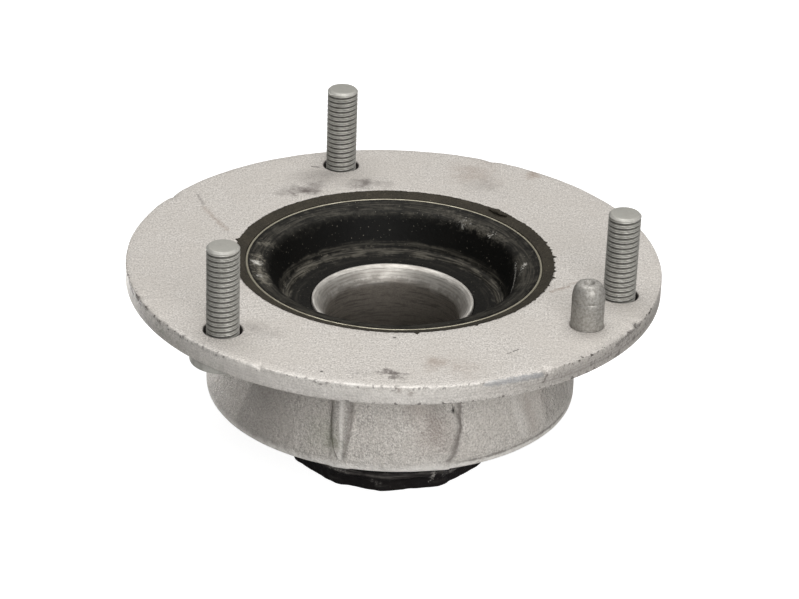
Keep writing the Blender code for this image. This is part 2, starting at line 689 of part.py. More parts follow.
def main():
    """Build the mount from the cast body inwards."""
    clear_scene()
    cast = finish("cast_aluminium", (203, 198, 191), 0.55, 0.85)
    zinc = finish("zinc_plated_steel", (142, 141, 135), 0.42, 0.9)
    pin_steel = finish("dull_pin_steel", (156, 152, 146), 0.5, 0.85)
    bright = finish("bright_steel", (200, 196, 190), 0.3, 0.95)
    dark_steel = finish("hardened_steel", (150, 148, 145), 0.25, 1.0)
    cage_steel = finish("pressed_steel", (168, 163, 154), 0.4, 0.9)
    black = finish("black_rubber", (26, 26, 25), 0.65, 0.0)
    brown = finish("brown_rubber", (64, 60, 52), 0.8, 0.0)
    stop_rubber = finish("stop_rubber", (30, 27, 26), 0.6, 0.0)

    mount = axis_empty("mount_frame", 0.0, None)
    make_body(cast, mount)
    for name, azimuth in STUD_AZIMUTHS.items():
        make_stud(name, azimuth, zinc, mount)
    make_pin(pin_steel, mount)
    make_edge_seal(brown, mount)
    make_sleeve(bright, mount)
    make_rubber_spring(black, mount)
    make_carrier(bright, mount)
    turning = axis_empty("inner_race_axis", bearing_middle_level, mount)
    orbiting = axis_empty("ball_set_axis", bearing_middle_level, mount)
    make_bearing(dark_steel, cage_steel, black, mount, turning, orbiting)
    make_retaining_ring(dark_steel, mount)
    make_lower_stop(stop_rubber, mount)


main()
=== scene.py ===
"""Looks of the strut mount: cast flange and cup, threaded studs, bonded rubber and the bearing inside.

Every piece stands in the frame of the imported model, in metres, with the mount's axis on Z and its foot at
level 0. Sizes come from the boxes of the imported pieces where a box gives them, and are named here where it
does not. Azimuths are in degrees, counter-clockwise seen from above; azimuth 270 faces the camera.
"""

from __future__ import annotations

import functools
import logging
import math
from dataclasses import dataclass, field
from enum import Enum
from typing import Callable, Optional, Sequence

import bmesh
import bpy
import numpy as np
from mathutils import Matrix, Vector


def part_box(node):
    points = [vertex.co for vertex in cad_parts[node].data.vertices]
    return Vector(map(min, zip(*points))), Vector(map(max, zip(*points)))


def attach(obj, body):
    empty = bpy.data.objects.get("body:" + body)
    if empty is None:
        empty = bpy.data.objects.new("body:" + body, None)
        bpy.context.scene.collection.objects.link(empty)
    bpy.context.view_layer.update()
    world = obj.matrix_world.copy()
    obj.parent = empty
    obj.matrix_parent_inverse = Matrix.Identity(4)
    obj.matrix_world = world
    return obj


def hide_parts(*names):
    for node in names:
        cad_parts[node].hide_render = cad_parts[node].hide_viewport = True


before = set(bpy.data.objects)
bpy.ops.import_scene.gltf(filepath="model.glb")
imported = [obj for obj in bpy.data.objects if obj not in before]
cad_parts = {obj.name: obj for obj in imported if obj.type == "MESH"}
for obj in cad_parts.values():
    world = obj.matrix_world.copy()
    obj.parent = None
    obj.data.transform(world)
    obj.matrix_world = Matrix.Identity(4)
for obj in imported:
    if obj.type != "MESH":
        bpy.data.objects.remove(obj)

LOG = logging.getLogger("strut_mount")
TURN = math.tau
MILLI = 0.001
SMALLEST = 1e-7
SAME = 1e-6
SHARP_DEG = 40.0
SUNK = "sunk"
SLEEVE_WALL = 0.00062
STUDS = ("stud_left", "stud_rear", "stud_right")

Tint = tuple[float, float, float, float]
Socket = bpy.types.NodeSocket
Object = bpy.types.Object
Material = bpy.types.Material
Corner = tuple[float, float, float, int]
Numbers = np.ndarray
Formed = tuple[np.ndarray, np.ndarray]
Shape = Callable[[np.ndarray, np.ndarray, np.ndarray], Formed]


class Body(Enum):
    """The moving bodies of the mount."""

    MOUNT = "mount"
    INNER_RACE = "inner_race"
    BALL_SET = "ball_set"


class Slot(Enum):
    """The material slots of the record."""

    CAST = "cast_aluminium"
    ZINC = "zinc_steel"
    PIN = "pin_steel"
    BROWN_RUBBER = "brown_rubber"
    BRIGHT = "bright_steel"
    BLACK_RUBBER = "black_rubber"
    STOP_RUBBER = "stop_rubber"
    BEARING = "bearing_steel"
    CAGE = "cage_steel"


def linear(channel: float) -> float:
    """Turn a display value from 0 to 255 into the linear value that a shader takes."""
    share = channel / 255
    return share / 12.92 if share <= 0.04045 else ((share + 0.055) / 1.055) ** 2.4


def tint(red: float, green: float, blue: float) -> Tint:
    """Make an opaque shader colour from display values."""
    return (linear(red), linear(green), linear(blue), 1.0)


def polar(radius: float, azimuth: float, level: float = 0.0) -> Vector:
    """Give the place at a radius, azimuth and level round the mount's axis."""
    angle = math.radians(azimuth)
    return Vector((radius * math.cos(angle), radius * math.sin(angle), level))


def near(azimuths: Numbers, azimuth: float) -> Numbers:
    """Give the signed turn from one azimuth to many, from -180 to 180 degrees."""
    return (azimuths - azimuth + 180) % 360 - 180


def bell(away: Numbers, reach: float) -> Numbers:
    """Give a bell curve that is 1 where nothing is away and fades past its reach."""
    return np.exp(-(away / reach) ** 2)


@dataclass(frozen=True)
class Envelope:
    """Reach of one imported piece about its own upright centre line."""

    centre: Vector
    radius: float
    bottom: float
    top: float

    @classmethod
    def of(cls, node: str) -> Envelope:
        """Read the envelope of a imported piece.

        Args:
            node: Name of the piece.

        Returns:
            Its envelope.
        """
        low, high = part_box(node)
        middle = (low + high) / 2
        return cls(Vector((middle.x, middle.y, 0.0)), (high.x - low.x) / 2, low.z, high.z)


@dataclass(frozen=True)
class Ripple:
    """A wavering line round the mount, made of a few sine waves with seeded phases."""

    seed: int
    waves: Sequence[int]
    fade: float = 0.7

    def along(self, azimuths: Numbers) -> Numbers:
        """Give the ripple at each azimuth, from about -1 to 1.

        Args:
            azimuths: Azimuths in degrees.

        Returns:
            The ripple's values.
        """
        draw = np.random.default_rng(self.seed)
        total, whole, weight = np.zeros_like(azimuths, dtype=float), 0.0, 1.0
        for wave in self.waves:
            total += weight * np.sin(np.radians(azimuths * wave) + draw.uniform(0, TURN))
            whole += weight
            weight *= self.fade
        return total / whole


def section(corners: Sequence[Corner], closed: bool = True, arc_steps: int = 4) -> Numbers:
    """Round the corners of a section and cut its straight runs into short ones.

    Args:
        corners: Radius, level, fillet and number of short runs to the next one, for each corner.
        closed: Whether the last corner runs back to the first.
        arc_steps: Steps on each fillet.

    Returns:
        Points as rows of radius and level.
    """
    places = [Vector(corner[:2]) for corner in corners]
    last = len(corners) - 1
    stops = []
    for index, here in enumerate(places):
        fillet = corners[index][2] if closed or 0 < index < last else 0.0
        stops.append([here])
        if fillet > 0:
            back = places[index - 1] - here
            ahead = places[(index + 1) % len(places)] - here
            reach = min(fillet / math.tan(back.angle(ahead) / 2), 0.48 * back.length, 0.48 * ahead.length)
            if reach >= SMALLEST:
                start, end = here + back.normalized() * reach, here + ahead.normalized() * reach
                stops[-1] = round_off(start, here, end, arc_steps)
    points = []
    for index, stop in enumerate(stops):
        following = stops[(index + 1) % len(stops)][0]
        runs = corners[index][3] if closed or index < last else 1
        points += stop + [stop[-1].lerp(following, step / runs) for step in range(1, runs)]
    return np.array([tuple(point) for point in points])


def round_off(start: Vector, corner: Vector, end: Vector, steps: int) -> list[Vector]:
    """List points on the round arc that touches two runs at their ends.

    Args:
        start: Where the arc leaves the first run.
        corner: Where the runs would meet.
        end: Where the arc meets the second run.
        steps: Steps on the arc.

    Returns:
        The points from start to end.
    """
    back, ahead = start - corner, end - corner
    half = back.angle(ahead) / 2
    centre = corner + (back + ahead).normalized() * (back.length / math.cos(half))
    turn = (start - centre).angle_signed(end - centre)
    points = []
    for step in range(steps + 1):
        spoke = start - centre
        spoke.rotate(Matrix.Rotation(-turn * step / steps, 2))
        points.append(centre + spoke)
    return points


def smooth(mesh: bpy.types.Mesh) -> None:
    """Shade a mesh smooth between its sharp edges."""
    mesh.shade_smooth()
    mesh.set_sharp_from_angle(angle=math.radians(SHARP_DEG))


def place_object(name: str, mesh: bpy.types.Mesh) -> Object:
    """Put a mesh into the scene.

    Args:
        name: Name of the new object.
        mesh: Its mesh.

    Returns:
        The new object.
    """
    smooth(mesh)
    piece = bpy.data.objects.new(name, mesh)
    bpy.context.scene.collection.objects.link(piece)
    return piece


def skin(name: str, grid: Numbers, closed: bool) -> Object:
    """Lay a skin of quads over a grid of points that runs round the mount.

    Args:
        name: Name of the new object.
        grid: Points as rows by columns by 3; the columns close into a ring.
        closed: Whether the rows close too; otherwise both ends are capped.

    Returns:
        The new object.
    """
    rows, columns = grid.shape[:2]
    index = np.arange(rows * columns).reshape(rows, columns)
    upper = index if closed else index[:-1]
    lower = np.roll(index, -1, axis=0) if closed else index[1:]
    quads = np.stack([upper, np.roll(upper, -1, axis=1), np.roll(lower, -1, axis=1), lower], axis=-1)
    faces = quads.reshape(-1, 4).tolist()
    if not closed:
        faces += [index[0][::-1].tolist(), index[-1].tolist()]
    mesh = bpy.data.meshes.new(name)
    mesh.from_pydata(grid.reshape(-1, 3).tolist(), [], faces)
    builder = bmesh.new()
    builder.from_mesh(mesh)
    bmesh.ops.recalc_face_normals(builder, faces=builder.faces)
    builder.to_mesh(mesh)
    builder.free()
    return place_object(name, mesh)


def turned(name: str, outline: Numbers, columns: int, centre: Vector = Vector((0.0, 0.0, 0.0)),
           shape: Optional[Shape] = None, closed: bool = True) -> Object:
    """Turn a section about an upright line, with an optional change of form round it.

    Args:
        name: Name of the new object.
        outline: Points of the section as rows of radius and level.
        columns: Points round the piece.
        centre: A point on the centre line.
        shape: Takes azimuths, radii and levels, and gives new radii and levels.
        closed: Whether the section closes on itself; otherwise its ends are capped.

    Returns:
        The new object.
    """
    azimuths = np.arange(columns) * 360 / columns
    turns, plain = np.meshgrid(azimuths, outline[:, 0])
    levels = np.meshgrid(azimuths, outline[:, 1])[1]
    radii, levels = shape(turns, plain, levels) if shape else (plain, levels)
    angles = np.radians(turns)
    across, along = radii * np.cos(angles), radii * np.sin(angles)
    piece = skin(name, np.stack([centre.x + across, centre.y + along, centre.z + levels], axis=-1), closed)
    piece.data.attributes.new(SUNK, "FLOAT", "POINT").data.foreach_set("value", (plain - radii).ravel())
    return piece


def combine(piece: Object, tools: Sequence[Object], operation: str = "DIFFERENCE") -> None:
    """Cut tool bodies out of a piece, or join them to it, and take the tools away.

    Args:
        piece: The piece that is changed.
        tools: Closed bodies.
        operation: Name of the Boolean operation.
    """
    for tool in tools:
        modifier = piece.modifiers.new("combine", "BOOLEAN")
        modifier.operation = operation
        modifier.solver = "EXACT"
        modifier.object = tool
    result = bpy.data.meshes.new_from_object(piece.evaluated_get(bpy.context.evaluated_depsgraph_get()))
    piece.modifiers.clear()
    piece.data = result
    smooth(result)
    for tool in tools:
        bpy.data.objects.remove(tool, do_unlink=True)


class Graph:
    """A short hand for laying out shader nodes in one node tree."""

    def __init__(self, tree: bpy.types.NodeTree) -> None:
        """Keep the tree that the nodes go into."""
        self.tree = tree

    def feed(self, socket: Socket, value: object) -> None:
        """Link an output to a socket, or set the socket to a constant.

        Args:
            socket: The input that is fed.
            value: An output socket or a constant.
        """
        if isinstance(value, bpy.types.NodeSocket):
            self.tree.links.new(value, socket)
        else:
            socket.default_value = value

    def node(self, kind: str, inputs: dict[object, object], **settings: object) -> bpy.types.Node:
        """Add a node, set its properties and feed its inputs.

        Args:
            kind: Blender's name of the node type, after ShaderNode.
            inputs: A constant or an output for each input, by name or number.
            settings: Property names and values.

        Returns:
            The node.
        """
        made = self.tree.nodes.new("ShaderNode" + kind)
        for key, value in settings.items():
            setattr(made, key, value)
        for key, value in inputs.items():
            self.feed(made.inputs[key], value)
        return made

    def math(self, operation: str, first: object, second: object = 0.0, clamp: bool = False) -> Socket:
        """Add a Math node for two values, and give its result."""
        return self.node("Math", {0: first, 1: second}, operation=operation, use_clamp=clamp).outputs[0]

    def times(self, *factors: object) -> Socket:
        """Multiply values with each other."""
        return functools.reduce(functools.partial(self.math, "MULTIPLY"), factors)

    def vector(self, operation: str, first: object, second: object = (0.0, 0.0, 0.0), output: int = 0) -> Socket:
        """Add a Vector Math node, and give its vector (output 0) or its value (output 1)."""
        return self.node("VectorMath", {0: first, 1: second}, operation=operation).outputs[output]

    def parts(self, vector: object) -> Sequence[Socket]:
        """Split a vector into its three parts."""
        return self.node("SeparateXYZ", {0: vector}).outputs

    def blend(self, share: object, first: object, second: object) -> Socket:
        """Mix a share of a second colour into a first one."""
        return self.node("Mix", {0: share, 6: first, 7: second}, data_type="RGBA", blend_type="MIX").outputs[2]

    def spread(self, value: object, low: object, high: object, start: float = 0.0, end: float = 1.0) -> Socket:
        """Map the range from low to high onto start to end, smoothly and without overshoot."""
        numbers = dict(enumerate((value, low, high, start, end)))
        return self.node("MapRange", numbers, interpolation_type="SMOOTHSTEP", clamp=True).outputs[0]

    def noise(self, place: object, scale: object, detail: float = 2.0, rough: float = 0.5) -> Socket:
        """Add a noise texture with so many features a metre, and give its value from 0 to 1."""
        inputs = {"Vector": place, "Scale": scale, "Detail": detail, "Roughness": rough}
        return self.node("TexNoise", inputs).outputs[0]

    def waver(self, place: object, scale: object, raggedness: object) -> Socket:
        """Give an offset of either sign that makes the edge of a mark ragged."""
        uneven = self.math("SUBTRACT", self.noise(place, scale, 4.0, 0.65), 0.5)
        return self.times(uneven, self.times(raggedness, 3.0))

    def place(self) -> Socket:
        """Give the place on the object, in metres."""
        return self.node("TexCoord", {}).outputs["Object"]

    def azimuth(self, parts: Sequence[Socket]) -> Socket:
        """Give the azimuth, from 0 to 360 degrees, of a place that is split into its parts."""
        angle = self.math("ARCTAN2", parts[1], parts[0])
        return self.math("FLOORED_MODULO", self.times(angle, 360 / TURN), 360.0)


class Effect(Enum):
    """Surface effects that several finishes share."""

    GRAIN = "surface_grain"
    SMEAR = "smear"
    RING = "ring_band"
    TURNING = "turning_marks"
    MOTTLE = "mottle"
    FACING_UP = "facing_up"
    SECTOR = "sector"
    PITS = "pits"
    FLANK = "flank_line"


def new_group(effect: Effect, *outputs: str, **inputs: object) -> tuple[Graph, Sequence[Socket], Sequence[Socket]]:
    """Make an empty shader node group with named sockets.

    Args:
        effect: The effect that the group holds.
        outputs: Names of the outputs, all of them values.
        inputs: Default of each input, a value or a vector.

    Returns:
        The group's graph, the sockets that bring its inputs and those that take its outputs.
    """
    tree = bpy.data.node_groups.new(effect.value, "ShaderNodeTree")
    for name, default in inputs.items():
        kind = "NodeSocketVector" if isinstance(default, tuple) else "NodeSocketFloat"
        tree.interface.new_socket(name, in_out="INPUT", socket_type=kind).default_value = default
    for name in outputs:
        tree.interface.new_socket(name, in_out="OUTPUT", socket_type="NodeSocketFloat")
    return Graph(tree), tree.nodes.new("NodeGroupInput").outputs, tree.nodes.new("NodeGroupOutput").inputs


def make_grain() -> None:
    """Build the grain effect: a fine rough height and the speckle that goes with it."""
    graph, entry, result = new_group(Effect.GRAIN, "Height", "Speckle", Size=0.0005, Coarseness=0.5)
    scale = graph.math("DIVIDE", 1.0, entry["Size"])
    place = graph.place()
    fine = graph.noise(place, scale, 3.0, 0.7)
    coarse = graph.math("SUBTRACT", graph.noise(place, graph.times(scale, 0.32), 2.0), 0.5)
    graph.feed(result["Height"], graph.math("ADD", fine, graph.times(coarse, entry["Coarseness"])))
    graph.feed(result["Speckle"], graph.spread(fine, 0.32, 0.68))


def make_smear() -> None:
    """Build the smear effect: a ragged patch about the line between two points."""
    graph, entry, result = new_group(Effect.SMEAR, "Mask", Start=(0.0, 0.0, 0.0), End=(0.0, 0.0, 0.0), Reach=0.002,
                                     Raggedness=0.6, Core=0.2, Strength=1.0)
    place = graph.place()
    line = graph.vector("SUBTRACT", entry["End"], entry["Start"])
    offset = graph.vector("SUBTRACT", place, entry["Start"])
    whole = graph.math("MAXIMUM", graph.vector("DOT_PRODUCT", line, line, 1), 1e-12)
    share = graph.math("DIVIDE", graph.vector("DOT_PRODUCT", offset, line, 1), whole, clamp=True)
    reached = graph.node("VectorMath", {0: line, "Scale": share}, operation="SCALE").outputs[0]
    distance = graph.vector("DISTANCE", offset, reached, 1)
    relative = graph.math("DIVIDE", distance, entry["Reach"])
    waver = graph.waver(place, graph.math("DIVIDE", 1.6, entry["Reach"]), entry["Raggedness"])
    cover = graph.spread(graph.math("ADD", relative, waver), entry["Core"], 1.0, 1.0, 0.0)
    graph.feed(result["Mask"], graph.times(cover, entry["Strength"]))


def make_ring() -> None:
    """Build the ring effect: a ragged band about a level circle round the mount's axis."""
    graph, entry, result = new_group(Effect.RING, "Mask", Radius=0.05, Level=0.05, Reach=0.001, Raggedness=0.6,
                                     Grain=0.002)
    place = graph.place()
    radius = graph.vector("LENGTH", graph.vector("MULTIPLY", place, (1.0, 1.0, 0.0)), output=1)
    across = graph.math("SUBTRACT", radius, entry["Radius"])
    above = graph.math("SUBTRACT", graph.parts(place)[2], entry["Level"])
    squared = graph.math("ADD", graph.times(across, across), graph.times(above, above))
    relative = graph.math("DIVIDE", graph.math("SQRT", squared), entry["Reach"])
    waver = graph.waver(place, graph.math("DIVIDE", 1.0, entry["Grain"]), entry["Raggedness"])
    graph.feed(result["Mask"], graph.spread(graph.math("ADD", relative, waver), 0.1, 1.0, 1.0, 0.0))


def make_turning() -> None:
    """Build the turning effect: fine rings round the mount's axis, which Change breaks into streaks."""
    graph, entry, result = new_group(Effect.TURNING, "Height", Pitch=0.0002, Change=0.0)
    place = graph.place()
    level = graph.vector("MULTIPLY", place, (1.0, 1.0, 0.0))
    spoke = graph.parts(graph.vector("NORMALIZE", level))
    flat = graph.node("CombineXYZ", {
        0: graph.vector("LENGTH", level, output=1),
        1: graph.times(spoke[0], entry["Change"]),
        2: graph.math("ADD", graph.parts(place)[2], graph.times(spoke[1], entry["Change"])),
    })
    scale = graph.math("DIVIDE", 1.0, entry["Pitch"])
    graph.feed(result["Height"], graph.noise(flat.outputs[0], scale, 2.0, 0.6))


def make_mottle() -> None:
    """Build the mottle effect: soft cloudy patches."""
    graph, entry, result = new_group(Effect.MOTTLE, "Mask", Size=0.01)
    clouds = graph.noise(graph.place(), graph.math("DIVIDE", 1.0, entry["Size"]), 4.0, 0.6)
    graph.feed(result["Mask"], graph.spread(clouds, 0.3, 0.7))


def make_facing_up() -> None:
    """Build the facing-up effect: how level a surface lies, where dust can settle."""
    graph, entry, result = new_group(Effect.FACING_UP, "Mask", From=0.3, To=0.9)
    upright = graph.parts(graph.node("NewGeometry", {}).outputs["Normal"])[2]
    graph.feed(result["Mask"], graph.spread(upright, entry["From"], entry["To"]))


def make_sector() -> None:
    """Build the sector effect: the part of a turned surface between two azimuths, whose bounds may lean."""
    graph, entry, result = new_group(Effect.SECTOR, "Mask", Start=0.0, End=360.0, Start_Fade=2.0, End_Fade=2.0,
                                     Lean=0.0, Level=0.0, Low=-1.0, High=1.0, Level_Fade=0.002)
    parts = graph.parts(graph.place())
    azimuth = graph.azimuth(parts)
    shift = graph.times(graph.math("SUBTRACT", parts[2], entry["Level"]), entry["Lean"])
    after = graph.math("SUBTRACT", azimuth, graph.math("ADD", entry["Start"], shift))
    until = graph.math("SUBTRACT", graph.math("ADD", entry["End"], shift), azimuth)
    rise = graph.spread(after, 0.0, entry["Start_Fade"])
    fall = graph.spread(until, 0.0, entry["End_Fade"])
    above = graph.spread(graph.math("SUBTRACT", parts[2], entry["Low"]), 0.0, entry["Level_Fade"])
    below = graph.spread(graph.math("SUBTRACT", entry["High"], parts[2]), 0.0, entry["Level_Fade"])
    graph.feed(result["Mask"], graph.times(rise, fall, graph.times(above, below)))


def make_flank() -> None:
    """Build the flank effect: a line down one side of a half-round rib, which closes in on its tip."""
    graph, entry, result = new_group(Effect.FLANK, "Mask", Azimuth=270.0, Turn=3.4, Reach=0.8, Upper=0.034,
                                     Lower=0.021)
    place = graph.place()
    parts = graph.parts(place)
    run = graph.math("SUBTRACT", entry["Upper"], entry["Lower"])
    sunk = graph.math("DIVIDE", graph.math("SUBTRACT", entry["Upper"], parts[2]), run, clamp=True)
    share = graph.math("SQRT", graph.math("SUBTRACT", 1.0, graph.times(sunk, sunk)))
    turn = graph.math("SUBTRACT", graph.azimuth(parts), entry["Azimuth"])
    offset = graph.math("SUBTRACT", turn, graph.times(entry["Turn"], share))
    ragged = graph.times(graph.math("SUBTRACT", graph.noise(place, 900.0, 3.0, 0.6), 0.5), 1.4)
    away = graph.math("ADD", graph.math("DIVIDE", graph.math("ABSOLUTE", offset), entry["Reach"]), ragged)
    tip = graph.spread(parts[2], graph.math("SUBTRACT", entry["Lower"], 0.0008), entry["Lower"])
    graph.feed(result["Mask"], graph.times(graph.spread(away, 0.0, 1.0, 1.0, 0.0), tip))


def make_pits() -> None:
    """Build the pits effect: small scattered specks."""
    graph, entry, result = new_group(Effect.PITS, "Mask", Size=0.0005, Rarity=0.62)
    specks = graph.noise(graph.place(), graph.math("DIVIDE", 1.0, entry["Size"]), 1.0, 0.4)
    graph.feed(result["Mask"], graph.spread(specks, entry["Rarity"], graph.math("ADD", entry["Rarity"], 0.08)))


@dataclass(frozen=True)
class Mark:
    """One mark at a measured place on the mount: dirt, stain, wear, painted light or painted shade."""

    start: Vector
    end: Vector
    reach: float
    strength: float
    shade: Tint
    raggedness: float = 0.6
    core: float = 0.2

    @classmethod
    def listed(cls, level: float, shade: Tint, reach: float, strength: float, raggedness: float, core: float,
               *places: float) -> Mark:
        """Make a mark from a row of a table.

        Args:
            level: Level that the drops are measured from.
            shade: Its colour.
            reach: How far it spreads, in millimetres.
            strength: How strongly it covers.
            raggedness: How uneven its edge is.
            core: Share of its reach that it covers fully; below 0 it stays thin.
            places: Radius and drop in millimetres, with the azimuth between them, of its start and, if it is
                long, of its end.

        Returns:
            The mark.
        """
        ends = [polar(places[at] * MILLI, places[at + 1], level - places[at + 2] * MILLI)
                for at in range(0, len(places), 3)]
        return cls(ends[0], ends[-1], reach * MILLI, strength, shade, raggedness, core)


class Finish:
    """A material under construction: its graph, its shader, its colour so far and its effects."""

    def __init__(self, name: str, metallic: float, specular: float = 0.5) -> None:
        """Start a material with its constant values.

        Args:
            name: Name of the material.
            metallic: How metallic the surface is.
            specular: Strength of its specular reflection.
        """
        self.material = bpy.data.materials.new(name)
        self.material.use_nodes = True
        self.graph = Graph(self.material.node_tree)
        self.shader = self.material.node_tree.nodes["Principled BSDF"]
        self.shader.inputs["Metallic"].default_value = metallic
        self.shader.inputs["Specular IOR Level"].default_value = specular
        self.colour: object = (0.0, 0.0, 0.0, 1.0)

    def effect(self, effect: Effect, output: str = "Mask", **values: object) -> Socket:
        """Place one shared effect in this material, and give one of its outputs."""
        return self.graph.node("Group", values, node_tree=bpy.data.node_groups[effect.value]).outputs[output]

    def grain(self, size: float, coarseness: float, output: str = "Height") -> Socket:
        """Give the height, or the speckle, of a fine grain."""
        return self.effect(Effect.GRAIN, output, Size=size, Coarseness=coarseness)

    def mottle(self, size: float) -> Socket:
        """Give soft clouds of one size."""
        return self.effect(Effect.MOTTLE, Size=size)

    def turning(self, pitch: float, change: float = 0.0) -> Socket:
        """Give the height of turning marks."""
        return self.effect(Effect.TURNING, "Height", Pitch=pitch, Change=change)

    def pits(self, size: float, rarity: float) -> Socket:
        """Give scattered specks."""
        return self.effect(Effect.PITS, Size=size, Rarity=rarity)

    def ring(self, radius: float, level: float, reach: float, raggedness: float, grain: float) -> Socket:
        """Give a ragged band round the mount."""
        values = {"Radius": radius, "Level": level, "Reach": reach, "Raggedness": raggedness, "Grain": grain}
        return self.effect(Effect.RING, **values)

    def sector(self, start: float, end: float, rise: float = 5.0, fall: float = 5.0, **more: float) -> Socket:
        """Give the part between two azimuths, with the degrees in which it rises and falls."""
        return self.effect(Effect.SECTOR, Start=start, End=end, Start_Fade=rise, End_Fade=fall, **more)

    def level(self) -> Socket:
        """Give the level on the object."""
        return self.graph.parts(self.graph.place())[2]

    def sunk(self) -> Socket:
        """Give how far the surface was pressed below its plain section, in metres."""
        return self.graph.node("Attribute", {}, attribute_name=SUNK).outputs["Fac"]

    def lay(self, shade: object, *factors: object) -> None:
        """Lay a shade over the colour so far, as strongly as the product of the factors."""
        self.colour = self.graph.blend(self.graph.times(*factors), self.colour, shade)

    def mark(self, marks: Sequence[Mark], through: object = 1.0) -> None:
        """Lay marks over the colour.

        Args:
            marks: The marks, the lowest first.
            through: How much of each mark shows, a value or an output.
        """
        for mark in marks:
            self.lay(mark.shade, self.effect(
                Effect.SMEAR, Start=mark.start, End=mark.end, Reach=mark.reach, Raggedness=mark.raggedness,
                Core=mark.core, Strength=mark.strength), through)

    def close(self, roughness: object, height: Socket, depth: float) -> Material:
        """Feed the shader and finish the material.

        Args:
            roughness: A value or an output.
            height: Height of the relief, from 0 to 1.
            depth: Depth of the relief in metres.

        Returns:
            The material.
        """
        bump = self.graph.node("Bump", {"Strength": 1.0, "Distance": depth, "Height": height})
        for name, value in (("Base Color", self.colour), ("Roughness", roughness), ("Normal", bump.outputs[0])):
            self.graph.feed(self.shader.inputs[name], value)
        return self.material


